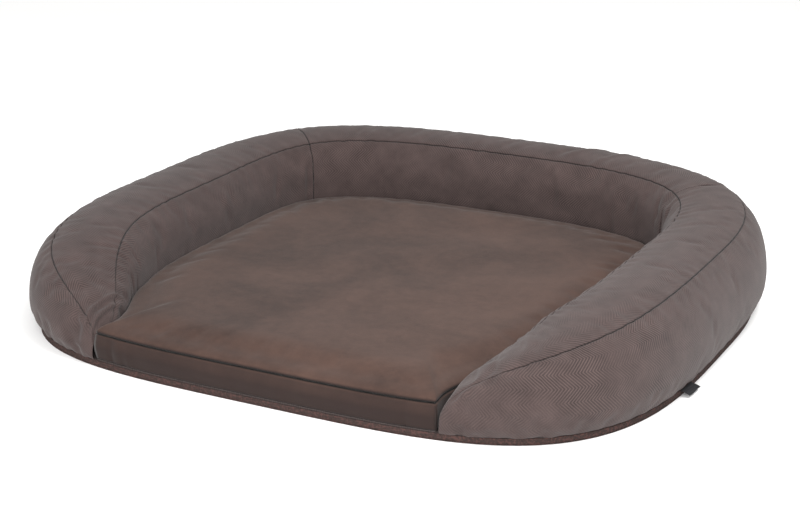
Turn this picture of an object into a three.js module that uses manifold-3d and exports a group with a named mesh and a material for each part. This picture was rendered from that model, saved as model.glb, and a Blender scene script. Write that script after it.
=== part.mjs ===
// Pet cushion bed: a stuffed U-shaped bolster sewn to a thin padded base, with a boxed foam seat
// cushion that lifts out of the U. The noses of the two arms curl in at the open front.
// Millimetres, +Z up, +X to the right, the open front faces -Y.

import * as THREE from 'three';
import { mergeVertices } from 'three/addons/utils/BufferGeometryUtils.js';
import Module from 'manifold-3d';

const wasm = await Module();
wasm.setup();

// ---------------------------------------------------------------- driving sizes
const BED_WIDTH = 1200; // over the bulge of both arms
const BED_DEPTH = 1078; // front edge of the base to the bulge of the back
const FRONT_TO_WIDEST = 572; // front edge to the widest point of the footprint
const FRONT_SQUARENESS = 3.8; // 2 is an ellipse, higher is squarer
const BACK_SQUARENESS = 2.82;
const FRONT_OPENING = 623; // between the tips of the two noses

const ARM_THICKNESS = 165; // across the foot of an arm
const BACK_THICKNESS = 129;
const ARM_HEIGHT = 171.5;
const BACK_HEIGHT = 185.5;
const NOSE_HEIGHT = 25; // at the very tip of an arm
const NOSE_WIDTH_RUN = 362; // length over which a nose grows to full thickness
const NOSE_HEIGHT_RUN = 551; // length over which it grows to full height
const NOSE_WIDTH_LEAD = 2.38;
const NOSE_WIDTH_BLUNTNESS = 2.31;
const NOSE_HEIGHT_ROUNDNESS = 2.12;
const NOSE_START = 2.5; // the tip is gathered this far from the end of the rail
const OUTER_BULGE = 18; // the bolster overhangs its foot by this much outside
const INNER_BULGE = 15; // and by this much inside
const WAIST_SHARE = 0.213; // the widest level, as a share of the bolster's own height
const CREST_SHARE = 0.384; // where the crest stands across the foot
const OUTER_ROUNDNESS = 2.4;
const INNER_ROUNDNESS = 4;
const OUTER_SEAM_WRAP = 1.71; // 1 is the outer waist, 2 the crest, 3 the inner waist
const INNER_SEAM_WRAP = 2.43;
const CORNER_TURN = 0.7; // the cross seams stand where the rail faces this far forward

const BASE_THICKNESS = 11; // bottom panel, pad and deck together
const BASE_FABRIC = 1.5;
const DECK_FABRIC = 1.2;
const PANEL_FABRIC = 2.2; // quilted bolster cover
const SEAT_FABRIC = 1.8; // seat cover

const SEAT_SEAM_HEIGHT = 57; // top seam of the front boxing above the floor
const SEAT_CROWN_HEIGHT = 84; // middle of the seat above the floor
const SEAT_CROWN_RUN = 80; // the top rises over this distance from its edge
const SUPPORT_FOAM_TOP = 46; // above the floor
const SEAT_SIDE_GAP = 3; // to the bulge of the arms
const SEAT_BACK_GAP = 7; // to the bulge of the back
const SEAT_FRONT_INSET = 2; // behind the edge of the base
const SEAT_LIFT_CLEARANCE = 30; // above the back when the cushion is lifted out

const ZIP_LENGTH = 300;
const ZIP_WINDOW_MARGIN = 7; // fabric opening past each end of the chain
const ZIP_WINDOW_HEIGHT = 13.5;
const TAPE_THICKNESS = 0.9;
const TAPE_HEIGHT = 26;
const CHAIN_THICKNESS = 1.5;
const CHAIN_HEIGHT = 5;
const STOP_LENGTH = 3;
const SLIDER_LENGTH = 11;
const SLIDER_HEIGHT = 9;
const SLIDER_PLATE = 1.2;
const SLIDER_CLEARANCE = 0.6;
const SLIDER_FOOT_CLEARANCE = 0.5;
const SLIDER_END_GAP = 2;
const BRIDGE_LENGTH = 6;
const BRIDGE_WIDTH = 2.6;
const BRIDGE_HOLE_RADIUS = 1.2;
const PULL_BAR_RADIUS = 0.8;
const PULL_LENGTH = 26;
const PULL_WIDTH = 8;
const PULL_THICKNESS = 1.4;
const PULL_HOLE_RADIUS = 2;

const LABEL_STATION_Y = -216; // ahead of the widest point, on the right arm
const LABEL_LENGTH = 42;
const LABEL_DEPTH = 17;
const LABEL_THICKNESS = 1.2;
const LABEL_DROOP = 14; // degrees

const GAP = 0.3; // between pieces that touch
const ARM_STEPS = 22;
const BACK_STEPS = 20;
const FRONT_STEPS = 10;
const FOOTPRINT_STEPS = 96;
const NOSE_CROWDING = 1.7; // stations crowd towards the nose

// ---------------------------------------------------------------- materials
const cloth = (color, roughness) => new THREE.MeshStandardMaterial({ color, roughness, metalness: 0 });
const twill = cloth(0x62565a, 0.95);
const nubuck = cloth(0x6b5a54, 0.85);
const baseFelt = cloth(0x4a3c3b, 0.95);
const deckCloth = cloth(0x3c3433, 0.9);
const fibreFill = cloth(0xe9e6df, 0.95);
const supportFoamMaterial = cloth(0xd8cfae, 0.9);
const memoryFoamMaterial = cloth(0xe8ddb8, 0.85);
const zipTapeMaterial = cloth(0x39302f, 0.85);
const chainMaterial = cloth(0x2c2625, 0.45);
const labelMaterial = cloth(0x17171a, 0.7);
const sliderMetal = new THREE.MeshStandardMaterial({ color: 0x4a4644, roughness: 0.35, metalness: 1 });

// ---------------------------------------------------------------- solids from points
const bed = new THREE.Group();

function addPiece(name, geometry, material, parent = bed) {
  const mesh = new THREE.Mesh(geometry, material);
  mesh.name = name;
  parent.add(mesh);
  return mesh;
}

function signedVolume(points, faces) {
  let sum = 0;
  const cross = new THREE.Vector3();
  for (const [a, b, c] of faces) sum += cross.crossVectors(points[b], points[c]).dot(points[a]);
  return sum / 6;
}

function solidFrom(points, faces) {
  const flipped = signedVolume(points, faces) < 0;
  const geometry = new THREE.BufferGeometry();
  geometry.setFromPoints(points);
  geometry.setIndex(faces.flatMap(([a, b, c]) => (flipped ? [a, c, b] : [a, b, c])));
  geometry.computeVertexNormals();
  return geometry;
}

// A closed sheet between two grids of points that match one to one.
function sheetSolid(outer, inner) {
  const rows = outer.length;
  const columns = outer[0].length;
  const points = [...outer.flat(), ...inner.flat()];
  const at = (side, i, j) => side * rows * columns + i * columns + j;
  const faces = [];
  const quad = (a, b, c, d) => faces.push([a, b, c], [a, c, d]);
  for (let i = 0; i < rows - 1; i++) {
    for (let j = 0; j < columns - 1; j++) {
      quad(at(0, i, j), at(0, i + 1, j), at(0, i + 1, j + 1), at(0, i, j + 1));
      const [a, b] = [at(1, i, j), at(1, i + 1, j)];
      faces.push([a, at(1, i + 1, j + 1), b], [a, at(1, i, j + 1), at(1, i + 1, j + 1)]);
    }
  }
  for (let i = 0; i < rows - 1; i++) {
    quad(at(0, i + 1, 0), at(0, i, 0), at(1, i, 0), at(1, i + 1, 0));
    const last = columns - 1;
    quad(at(0, i, last), at(0, i + 1, last), at(1, i + 1, last), at(1, i, last));
  }
  for (let j = 0; j < columns - 1; j++) {
    quad(at(0, 0, j), at(0, 0, j + 1), at(1, 0, j + 1), at(1, 0, j));
    const last = rows - 1;
    quad(at(0, last, j + 1), at(0, last, j), at(1, last, j), at(1, last, j + 1));
  }
  return solidFrom(points, faces);
}

function capFaces(ring, offset, reverse) {
  const normal = new THREE.Vector3();
  ring.forEach((p, i) => {
    const q = ring[(i + 1) % ring.length];
    normal.x += (p.y - q.y) * (p.z + q.z);
    normal.y += (p.z - q.z) * (p.x + q.x);
    normal.z += (p.x - q.x) * (p.y + q.y);
  });
  normal.normalize();
  const helper = Math.abs(normal.z) < 0.9 ? new THREE.Vector3(0, 0, 1) : new THREE.Vector3(1, 0, 0);
  const u = new THREE.Vector3().crossVectors(helper, normal).normalize();
  const v = new THREE.Vector3().crossVectors(normal, u);
  const flat = ring.map((p) => new THREE.Vector2(p.dot(u), p.dot(v)));
  return THREE.ShapeUtils.triangulateShape(flat, []).map(([a, b, c]) =>
    reverse ? [offset + a, offset + c, offset + b] : [offset + a, offset + b, offset + c]);
}

// A solid through a row of rings; a closed row makes a hoop, an open one gets two caps.
function ringSolid(rings, hoop = false) {
  const size = rings[0].length;
  const points = rings.flat();
  const faces = [];
  const bands = hoop ? rings.length : rings.length - 1;
  for (let k = 0; k < bands; k++) {
    const [low, high] = [k * size, ((k + 1) % rings.length) * size];
    for (let i = 0; i < size; i++) {
      const j = (i + 1) % size;
      faces.push([low + i, low + j, high + j], [low + i, high + j, high + i]);
    }
  }
  if (!hoop) {
    faces.push(...capFaces(rings[0], 0, true));
    faces.push(...capFaces(rings.at(-1), (rings.length - 1) * size, false));
  }
  return solidFrom(points, faces);
}

const atHeight = (outline, z) => outline.map((p) => new THREE.Vector3(p.x, p.y, z));
const prism = (outline, low, high) => ringSolid([atHeight(outline, low), atHeight(outline, high)]);

function toManifold(geometry) {
  const bare = geometry.clone();
  bare.deleteAttribute('normal');
  bare.deleteAttribute('uv');
  const merged = mergeVertices(bare, 1e-4);
  return new wasm.Manifold(new wasm.Mesh({
    numProp: 3,
    vertProperties: new Float32Array(merged.attributes.position.array),
    triVerts: new Uint32Array(merged.index.array),
  }));
}

function fromManifold(solid) {
  const { vertProperties, triVerts } = solid.getMesh();
  const geometry = new THREE.BufferGeometry();
  geometry.setAttribute('position', new THREE.BufferAttribute(vertProperties, 3));
  geometry.setIndex(new THREE.BufferAttribute(triVerts, 1));
  geometry.computeVertexNormals();
  return geometry;
}

const cutAway = (body, tool) => fromManifold(toManifold(body).subtract(toManifold(tool)));
const joined = (...parts) => fromManifold(parts.map(toManifold).reduce((a, b) => a.add(b)));

// ---------------------------------------------------------------- footprint and rail
const footHalfWidth = BED_WIDTH / 2 - OUTER_BULGE;
const footBack = BED_DEPTH - FRONT_TO_WIDEST - OUTER_BULGE;

function footprintPoint(angle) {
  const front = angle < 0;
  const power = 2 / (front ? FRONT_SQUARENESS : BACK_SQUARENESS);
  const x = footHalfWidth * Math.max(Math.cos(angle), 0) ** power;
  const y = Math.abs(Math.sin(angle)) ** power * (front ? -FRONT_TO_WIDEST : footBack);
  return new THREE.Vector2(x, y);
}

function footprintFrontAt(x) {
  const share = Math.abs(x / footHalfWidth) ** FRONT_SQUARENESS;
  return -FRONT_TO_WIDEST * (1 - share) ** (1 / FRONT_SQUARENESS);
}

// The rail is the foot line of the bolster, from the right nose round the back to the left nose.
const RAIL_SAMPLES = 3000;
const railWalk = [];
const tipAngle = -Math.acos((FRONT_OPENING / 2 / footHalfWidth) ** (FRONT_SQUARENESS / 2));
for (let i = 0; i <= RAIL_SAMPLES; i++) {
  const point = footprintPoint(tipAngle + (Math.PI / 2 - tipAngle) * (i / RAIL_SAMPLES));
  const before = railWalk.at(-1);
  railWalk.push({ point, length: before ? before.length + before.point.distanceTo(point) : 0 });
}
const railHalf = railWalk.at(-1).length;
const railLength = 2 * railHalf;

function railPoint(station) {
  const mirrored = station > railHalf;
  const length = THREE.MathUtils.clamp(mirrored ? railLength - station : station, 0, railHalf);
  let [low, high] = [0, RAIL_SAMPLES];
  while (high - low > 1) {
    const middle = (low + high) >> 1;
    if (railWalk[middle].length > length) high = middle;
    else low = middle;
  }
  const [a, b] = [railWalk[low], railWalk[high]];
  const point = a.point.clone().lerp(b.point, (length - a.length) / (b.length - a.length));
  if (mirrored) point.x *= -1;
  return point;
}

const TANGENT_STEP = 4;
function railAt(station) {
  const back = railPoint(Math.max(station - TANGENT_STEP, 0));
  const ahead = railPoint(Math.min(station + TANGENT_STEP, railLength));
  const along = ahead.sub(back).normalize();
  return {
    point: railPoint(station),
    inward: new THREE.Vector2(-along.y, along.x),
    fromNose: Math.min(station, railLength - station),
  };
}

// ---------------------------------------------------------------- bolster surface
const bolsterFoot = BASE_THICKNESS + GAP;
const mix = THREE.MathUtils.lerp;

function growth(distance, run, lead, bluntness) {
  const t = THREE.MathUtils.clamp(distance / run, 0, 1);
  return (1 - (1 - t) ** lead) ** (1 / bluntness);
}

function sectionAt(station) {
  const rail = railAt(station);
  const backness = THREE.MathUtils.clamp(-rail.inward.y, 0, 1);
  const wide = growth(rail.fromNose, NOSE_WIDTH_RUN, NOSE_WIDTH_LEAD, NOSE_WIDTH_BLUNTNESS);
  const tall = growth(rail.fromNose, NOSE_HEIGHT_RUN, NOSE_HEIGHT_ROUNDNESS, NOSE_HEIGHT_ROUNDNESS);
  const crest = NOSE_HEIGHT + (mix(ARM_HEIGHT, BACK_HEIGHT, backness) - NOSE_HEIGHT) * tall;
  return {
    rail,
    backness,
    crest,
    width: mix(ARM_THICKNESS, BACK_THICKNESS, backness) * wide,
    waist: bolsterFoot + (crest - bolsterFoot) * WAIST_SHARE,
    outerBulge: OUTER_BULGE * tall,
    innerBulge: INNER_BULGE * wide,
  };
}

// wrap runs 0 at the outer foot, 1 outer waist, 2 crest, 3 inner waist, 4 inner foot
function surfacePoint(station, wrap) {
  const section = sectionAt(station);
  const crestAcross = CREST_SHARE * section.width;
  const footToWaist = section.waist - bolsterFoot;
  let across;
  let z;
  if (wrap < 1 || wrap > 3) {
    const drop = wrap < 1 ? 1 - wrap : wrap - 3;
    const bulge = 1 - drop * drop;
    across = wrap < 1 ? -section.outerBulge * bulge : section.width + section.innerBulge * bulge;
    z = section.waist - footToWaist * drop;
  } else {
    const outside = wrap <= 2;
    const power = outside ? OUTER_ROUNDNESS : INNER_ROUNDNESS;
    const turn = ((outside ? wrap - 1 : 3 - wrap) * Math.PI) / 2;
    const [c, s] = [Math.abs(Math.cos(turn)), Math.sin(turn)];
    const reach = (c ** power + s ** power) ** (-1 / power);
    const side = outside ? -(crestAcross + section.outerBulge)
      : section.width - crestAcross + section.innerBulge;
    across = crestAcross + side * c * reach;
    z = section.waist + (section.crest - section.waist) * s * reach;
  }
  const foot = section.rail.point.clone().addScaledVector(section.rail.inward, across);
  return new THREE.Vector3(foot.x, foot.y, z);
}

const NORMAL_STEP = 0.5;
const NORMAL_WRAP = 0.01;
function pointUnder(station, wrap, depth) {
  const [before, after] = [Math.max(station - NORMAL_STEP, 0), Math.min(station + NORMAL_STEP, railLength)];
  const along = surfacePoint(after, wrap).sub(surfacePoint(before, wrap));
  const [low, high] = [Math.max(wrap - NORMAL_WRAP, 0), Math.min(wrap + NORMAL_WRAP, 4)];
  const over = surfacePoint(station, high).sub(surfacePoint(station, low));
  const outward = along.cross(over).normalize();
  return surfacePoint(station, wrap).addScaledVector(outward, -depth);
}

const evenly = (from, to, steps) => Array.from({ length: steps + 1 }, (_, i) => mix(from, to, i / steps));

// the cross seams of the two back corners stand where the rail has turned towards the front
const cornerStation = railWalk.map((w) => w.length).find((length) => -railAt(length).inward.y > CORNER_TURN);
const CROSS_SEAM = 0.8; // the gap of a cross seam, along the foot line
// the two sides of a cross seam close up towards the inside of the corner, and keep the gap there
const cornerEdges = [-TANGENT_STEP, TANGENT_STEP].map((offset) => bulgeEdge(cornerStation + offset));
const cornerSpread = cornerEdges[0].distanceTo(cornerEdges[1]);
const crossSeam = Math.max(CROSS_SEAM, GAP / (cornerSpread / (2 * TANGENT_STEP)));
const armStations = evenly(0, 1, ARM_STEPS).map((t) =>
  mix(NOSE_START, cornerStation - crossSeam / 2, t ** NOSE_CROWDING));
const backStart = cornerStation + crossSeam / 2;
const backStations = evenly(backStart, railLength - backStart, BACK_STEPS);
const sections = {
  right: armStations,
  back: backStations,
  left: armStations.map((station) => railLength - station).reverse(),
};

// the zip lies along the waist of the back, so the waist has rows at both edges of its tape
const backMiddle = sectionAt(railHalf);
const zipHeight = backMiddle.waist;

function backWrapAt(height) {
  if (height < zipHeight) return 1 - (zipHeight - height) / (zipHeight - bolsterFoot);
  return 1 + (2 / Math.PI) * Math.atan2(height - zipHeight, backMiddle.crest - zipHeight);
}
const backWraps = (height) => [-height / 2, 0, height / 2].map((offset) => backWrapAt(zipHeight + offset));

const tapeWraps = backWraps(TAPE_HEIGHT);
const TOP_STEPS = 4;
const INNER_STEPS = 5;
const panelWraps = {
  outer: [0, tapeWraps[0] / 2, ...tapeWraps, mix(tapeWraps[2], OUTER_SEAM_WRAP, 0.45), OUTER_SEAM_WRAP],
  top: evenly(OUTER_SEAM_WRAP, INNER_SEAM_WRAP, TOP_STEPS),
  inner: evenly(INNER_SEAM_WRAP, 4, INNER_STEPS),
};

// half a seam's gap, in wrap, at a station
const SEAM_EASE = 1.6;
function seamShift(station) {
  const section = sectionAt(station);
  return SEAM_EASE * GAP / (section.width + section.crest);
}

// the rows of one panel, drawn back from the seams it shares
function wrapsOf(rows, station) {
  const shift = seamShift(station);
  const kept = [...rows];
  if (kept[0] > 0) kept[0] += shift;
  if (kept.at(-1) < 4) kept[kept.length - 1] -= shift;
  return kept;
}

function skin(stations, wrapsAt, outerDepth, innerDepth) {
  const grid = (depth) => stations.map((s) => wrapsAt(s).map((wrap) => pointUnder(s, wrap, depth)));
  return sheetSolid(grid(outerDepth), grid(innerDepth));
}

// ---------------------------------------------------------------- base
const footprint = evenly(-Math.PI / 2, (Math.PI * 3) / 2, FOOTPRINT_STEPS).slice(0, -1).map((angle) => {
  const right = angle <= Math.PI / 2;
  const point = footprintPoint(right ? angle : Math.PI - angle);
  if (!right) point.x *= -1;
  return point;
});
const footCentre = new THREE.Vector2(0, (footBack - FRONT_TO_WIDEST) / 2);

function shrunk(outline, centre, inset, halfSize) {
  const scale = 1 - inset / halfSize;
  return outline.map((p) => p.clone().sub(centre).multiplyScalar(scale).add(centre));
}
const footprintInset = (inset) => shrunk(footprint, footCentre, inset, (footBack + FRONT_TO_WIDEST) / 2);

function addBase() {
  const padLow = BASE_FABRIC + GAP;
  const deckLow = BASE_THICKNESS - DECK_FABRIC;
  const inner = BASE_FABRIC + GAP;
  addPiece('base_panel', prism(footprint, 0, BASE_FABRIC), baseFelt);
  addPiece('base_pad', prism(footprintInset(inner), padLow, deckLow - GAP), fibreFill);
  addPiece('deck_panel', prism(footprintInset(inner), deckLow, BASE_THICKNESS), deckCloth);
  const inside = footprintInset(BASE_FABRIC);
  const band = [
    atHeight(footprint, padLow),
    atHeight(footprint, BASE_THICKNESS),
    atHeight(inside, BASE_THICKNESS),
    atHeight(inside, padLow),
  ];
  addPiece('base_band', ringSolid(band, true), baseFelt);
}

// ---------------------------------------------------------------- zips
// across the bolster panel or the seat boxing: chain in the opening, tape behind the fabric
function zipDepths(fabric) {
  const tapeOuter = fabric + GAP;
  return {
    chainOuter: fabric - CHAIN_THICKNESS,
    chainInner: fabric,
    tapeOuter,
    tapeInner: tapeOuter + TAPE_THICKNESS,
  };
}

// The slider's own frame: X along the chain, Y out of the fabric, Z up, origin mid-chain.
const plateTop = CHAIN_THICKNESS / 2 + SLIDER_CLEARANCE + SLIDER_PLATE;
const barHeight = plateTop + GAP + BRIDGE_HOLE_RADIUS;

function block(length, thickness, height, x, y, z) {
  return new THREE.BoxGeometry(length, thickness, height).translate(x, y, z);
}

function upright(radius, height, x, y, sides = 20) {
  return new THREE.CylinderGeometry(radius, radius, height, sides).rotateX(Math.PI / 2).translate(x, y, 0);
}

function sliderBody() {
  const low = -CHAIN_THICKNESS / 2 + SLIDER_FOOT_CLEARANCE;
  const body = block(SLIDER_LENGTH, plateTop - low, SLIDER_HEIGHT, 0, (plateTop + low) / 2, 0);
  const roof = plateTop - SLIDER_PLATE;
  const channelHeight = CHAIN_HEIGHT + 2 * SLIDER_CLEARANCE;
  const depth = roof - low + 1;
  return cutAway(body, block(SLIDER_LENGTH + 2, depth, channelHeight, 0, roof - depth / 2, 0));
}

function pullSlider() {
  const wall = 1;
  const top = barHeight + BRIDGE_HOLE_RADIUS + wall;
  const sunk = 0.2;
  const bridge = block(BRIDGE_LENGTH, top - plateTop + sunk, BRIDGE_WIDTH, 0, (top + plateTop - sunk) / 2, 0);
  const hole = upright(BRIDGE_HOLE_RADIUS, BRIDGE_WIDTH + 2, 0, barHeight);
  return cutAway(joined(sliderBody(), bridge), hole);
}

function pulllessSlider() {
  const ridge = block(SLIDER_LENGTH / 2, 1, BRIDGE_WIDTH, 0, plateTop + 0.3, 0);
  return joined(sliderBody(), ridge);
}

function pullTab() {
  const armGap = BRIDGE_WIDTH / 2 + GAP * 2;
  const armWidth = 1.4;
  const reach = BRIDGE_LENGTH / 2 + 1.2;
  const bar = upright(PULL_BAR_RADIUS, 2 * (armGap + armWidth), 0, barHeight);
  const arms = [-1, 1].map((side) =>
    block(reach + PULL_BAR_RADIUS, PULL_THICKNESS, armWidth, -(reach - PULL_BAR_RADIUS) / 2, barHeight,
      side * (armGap + armWidth / 2)));
  const tabLength = PULL_LENGTH - reach;
  const tab = block(tabLength, PULL_THICKNESS, PULL_WIDTH, -reach - tabLength / 2 + 0.2, barHeight, 0);
  const eye = new THREE.CylinderGeometry(PULL_HOLE_RADIUS, PULL_HOLE_RADIUS, PULL_THICKNESS + 2, 20)
    .translate(-PULL_LENGTH + 2 * PULL_HOLE_RADIUS, barHeight, 0);
  return cutAway(joined(bar, ...arms, tab), eye);
}

const facing = (outward) => Math.atan2(-outward.x, outward.y);

function groupAt(point, outward) {
  const group = new THREE.Group();
  group.position.copy(point);
  group.rotation.z = facing(outward);
  bed.add(group);
  return group;
}

// The slider travels along the chain, which curves gently, so it swings about a far upright axis.
function arcAxis(middle, end) {
  const sag = middle.y - end.y;
  const radius = (end.x ** 2 + sag ** 2) / (2 * sag);
  return { x: 0, y: middle.y - radius, radius };
}

const zipEnds = [railHalf - ZIP_LENGTH / 2, railHalf + ZIP_LENGTH / 2];
const between = (low, high) => [low, ...backStations.filter((s) => s > low + 2 && s < high - 2), high];
const parking = ZIP_LENGTH / 2 - STOP_LENGTH - SLIDER_END_GAP - SLIDER_LENGTH / 2;

// ---------------------------------------------------------------- bolster
function addBolsterPanels() {
  const window = skin(
    between(zipEnds[0] - ZIP_WINDOW_MARGIN, zipEnds[1] + ZIP_WINDOW_MARGIN),
    () => backWraps(ZIP_WINDOW_HEIGHT), -3, PANEL_FABRIC + 3,
  );
  for (const [side, stations] of Object.entries(sections)) {
    for (const [level, rows] of Object.entries(panelWraps)) {
      const panel = skin(stations, (s) => wrapsOf(rows, s), 0, PANEL_FABRIC);
      const zipped = side === 'back' && level === 'outer';
      addPiece(`${side}_${level}_panel`, zipped ? cutAway(panel, window) : panel, twill);
    }
  }
}

const fillWraps = [...new Set(Object.values(panelWraps).flat())];

function fillRing(station, zipped) {
  const underPanel = PANEL_FABRIC + GAP;
  const underTape = zipDepths(PANEL_FABRIC).tapeInner + GAP;
  const ring = fillWraps.map((wrap) =>
    pointUnder(station, wrap, zipped && wrap <= tapeWraps[2] ? underTape : underPanel));
  const { inward } = railAt(station);
  const corner = (edge, side) => new THREE.Vector3(
    edge.x + inward.x * side * 2 * underPanel, edge.y + inward.y * side * 2 * underPanel, bolsterFoot);
  return [corner(ring[0], 1), ...ring, corner(ring.at(-1), -1)];
}

function addBolsterFill() {
  for (const [side, stations] of Object.entries(sections)) {
    const rings = stations.map((station) => fillRing(station, side === 'back'));
    addPiece(`${side}_bolster_fill`, ringSolid(rings), fibreFill);
  }
}

function addBolsterZip() {
  const depths = zipDepths(PANEL_FABRIC);
  const stations = between(...zipEnds);
  const overlap = ZIP_WINDOW_MARGIN * 2;
  const tapeStations = between(zipEnds[0] - overlap, zipEnds[1] + overlap);
  addPiece('back_zip_tape',
    skin(tapeStations, () => backWraps(TAPE_HEIGHT), depths.tapeOuter, depths.tapeInner), zipTapeMaterial);
  const inner = [zipEnds[0] + STOP_LENGTH + GAP, zipEnds[1] - STOP_LENGTH - GAP];
  addPiece('back_zip_chain',
    skin(between(...inner), () => backWraps(CHAIN_HEIGHT), depths.chainOuter, depths.chainInner),
    chainMaterial);
  const stops = [[zipEnds[0], zipEnds[0] + STOP_LENGTH], [zipEnds[1] - STOP_LENGTH, zipEnds[1]]];
  stops.forEach((ends, i) => {
    addPiece(`back_zip_stop_${['right', 'left'][i]}`,
      skin(ends, () => backWraps(CHAIN_HEIGHT), depths.chainOuter, depths.chainInner), sliderMetal);
  });
  const station = railHalf - parking;
  const middle = (depths.chainOuter + depths.chainInner) / 2;
  const outward = railAt(station).inward.negate();
  const slider = groupAt(pointUnder(station, 1, middle), outward);
  addPiece('back_zip_slider', pullSlider(), sliderMetal, slider);
  addPiece('back_zip_pull', pullTab(), sliderMetal, slider);
  const ends = [0, parking].map((offset) => pointUnder(railHalf - offset, 1, middle));
  bed.userData.backZip = { ...arcAxis(...ends), travel: 2 * parking, height: zipHeight };
  const upwards = new THREE.Vector3(0, 0, 1);
  const hinge = new THREE.Vector3(0, barHeight, 0).applyAxisAngle(upwards, facing(outward));
  bed.userData.pullAxis = hinge.add(slider.position);
}

// ---------------------------------------------------------------- seat cushion
const seatFoot = BASE_THICKNESS + GAP;

// The seat follows the inside of the bolster's bulge, with its own gap to it.
function bulgeEdge(station) {
  const section = sectionAt(station);
  const reach = section.width + section.innerBulge;
  return section.rail.point.clone().addScaledVector(section.rail.inward, reach);
}

function seatEdge(station) {
  const step = Math.min(TANGENT_STEP, station / 2, (railLength - station) / 2);
  const along = bulgeEdge(station + step).sub(bulgeEdge(station - step)).normalize();
  const gap = mix(SEAT_SIDE_GAP, SEAT_BACK_GAP, sectionAt(station).backness);
  const inward = new THREE.Vector2(-along.y, along.x);
  return { point: bulgeEdge(station).addScaledVector(inward, gap), outward: inward.clone().negate() };
}

const frontCornerX = FRONT_OPENING / 2 - SEAT_SIDE_GAP;
const seatFront = evenly(-frontCornerX, frontCornerX, FRONT_STEPS).map((x) =>
  new THREE.Vector2(x, footprintFrontAt(x) + SEAT_FRONT_INSET));
const seatRound = [...sections.right, ...sections.back, ...sections.left].map((s) => seatEdge(s).point);
const seatOutline = [...seatFront, ...seatRound];
const seatCorners = {
  frontRight: FRONT_STEPS,
  backRight: FRONT_STEPS + 1 + ARM_STEPS,
  backLeft: FRONT_STEPS + 2 + ARM_STEPS + BACK_STEPS,
};
const seatMiddle = new THREE.Box2().setFromPoints(seatOutline).getCenter(new THREE.Vector2());
const seatHalfSize = new THREE.Box2().setFromPoints(seatOutline).getSize(new THREE.Vector2()).x / 2;
const seatInset = (inset) => shrunk(seatOutline, seatMiddle, inset, seatHalfSize);

// an upright strip of the cover from one corner of the outline to another
function boxingStrip(from, to, outerInset, innerInset, low, high) {
  const count = seatOutline.length;
  const run = (inset) => {
    const outline = seatInset(inset);
    const points = [];
    for (let i = from; i <= to; i++) points.push(outline[i % count].clone());
    // a tight corner closes up the two points of its cross seam: the strip then ends at the next
    if (points[0].distanceTo(points[1]) < GAP) points.shift();
    if (points.at(-1).distanceTo(points.at(-2)) < GAP) points.pop();
    const pull = (a, b) => a.add(b.clone().sub(a).setLength(GAP * 0.75));
    pull(points[0], points[1]);
    pull(points.at(-1), points.at(-2));
    return points;
  };
  return prism([...run(outerInset), ...run(innerInset).reverse()], low, high);
}

const boxingLow = seatFoot + SEAT_FABRIC + GAP;
const seatZipHeight = (boxingLow + SEAT_SEAM_HEIGHT) / 2;

function seatZipStrip(low, high, outerInset, innerInset, height) {
  const along = between(low, high).map((s) => seatEdge(s).point);
  const edge = (inset) => shrunk(along, seatMiddle, inset, seatHalfSize);
  const outline = [...edge(outerInset), ...edge(innerInset).reverse()];
  return prism(outline, seatZipHeight - height / 2, seatZipHeight + height / 2);
}

function addSeatBoxing() {
  const { frontRight, backRight, backLeft } = seatCorners;
  const strip = (from, to) => boxingStrip(from, to, 0, SEAT_FABRIC, boxingLow, SEAT_SEAM_HEIGHT);
  addPiece('seat_front_boxing', strip(0, frontRight), nubuck);
  addPiece('seat_right_boxing', strip(frontRight, backRight), nubuck);
  addPiece('seat_left_boxing', strip(backLeft, seatOutline.length), nubuck);
  const ends = [zipEnds[0] - ZIP_WINDOW_MARGIN, zipEnds[1] + ZIP_WINDOW_MARGIN];
  const window = seatZipStrip(...ends, -3, SEAT_FABRIC + 3, ZIP_WINDOW_HEIGHT);
  addPiece('seat_back_boxing', cutAway(strip(backRight, backLeft), window), nubuck);
}

function addSeatZip() {
  const depths = zipDepths(SEAT_FABRIC);
  const overlap = ZIP_WINDOW_MARGIN * 2;
  const strip = (low, high, face, height) =>
    seatZipStrip(low, high, depths[`${face}Outer`], depths[`${face}Inner`], height);
  addPiece('seat_zip_tape', strip(zipEnds[0] - overlap, zipEnds[1] + overlap, 'tape', TAPE_HEIGHT),
    zipTapeMaterial);
  const inner = STOP_LENGTH + GAP;
  addPiece('seat_zip_chain', strip(zipEnds[0] + inner, zipEnds[1] - inner, 'chain', CHAIN_HEIGHT),
    chainMaterial);
  addPiece('seat_zip_stop_right', strip(zipEnds[0], zipEnds[0] + STOP_LENGTH, 'chain', CHAIN_HEIGHT),
    sliderMetal);
  addPiece('seat_zip_stop_left', strip(zipEnds[1] - STOP_LENGTH, zipEnds[1], 'chain', CHAIN_HEIGHT),
    sliderMetal);
  const middle = (depths.chainOuter + depths.chainInner) / 2;
  const onChain = (station) => {
    const { point, outward } = seatEdge(station);
    const at = point.addScaledVector(outward, -middle);
    return { outward, at: new THREE.Vector3(at.x, at.y, seatZipHeight) };
  };
  const parked = onChain(railHalf - parking);
  const slider = groupAt(parked.at, parked.outward);
  addPiece('seat_zip_slider', pulllessSlider(), sliderMetal, slider);
  bed.userData.seatZip = {
    ...arcAxis(onChain(railHalf).at, parked.at), travel: 2 * parking, height: seatZipHeight,
  };
}

const topPanelRim = SEAT_SEAM_HEIGHT + GAP;
const crownRise = (inset) => {
  const t = Math.min(inset / SEAT_CROWN_RUN, 1);
  return (SEAT_CROWN_HEIGHT - topPanelRim - SEAT_FABRIC) * Math.sqrt(1 - (1 - t) ** 2);
};
const crownInsets = [0, 0.12, 0.42, 1].map((share) => share * SEAT_CROWN_RUN);

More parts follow.
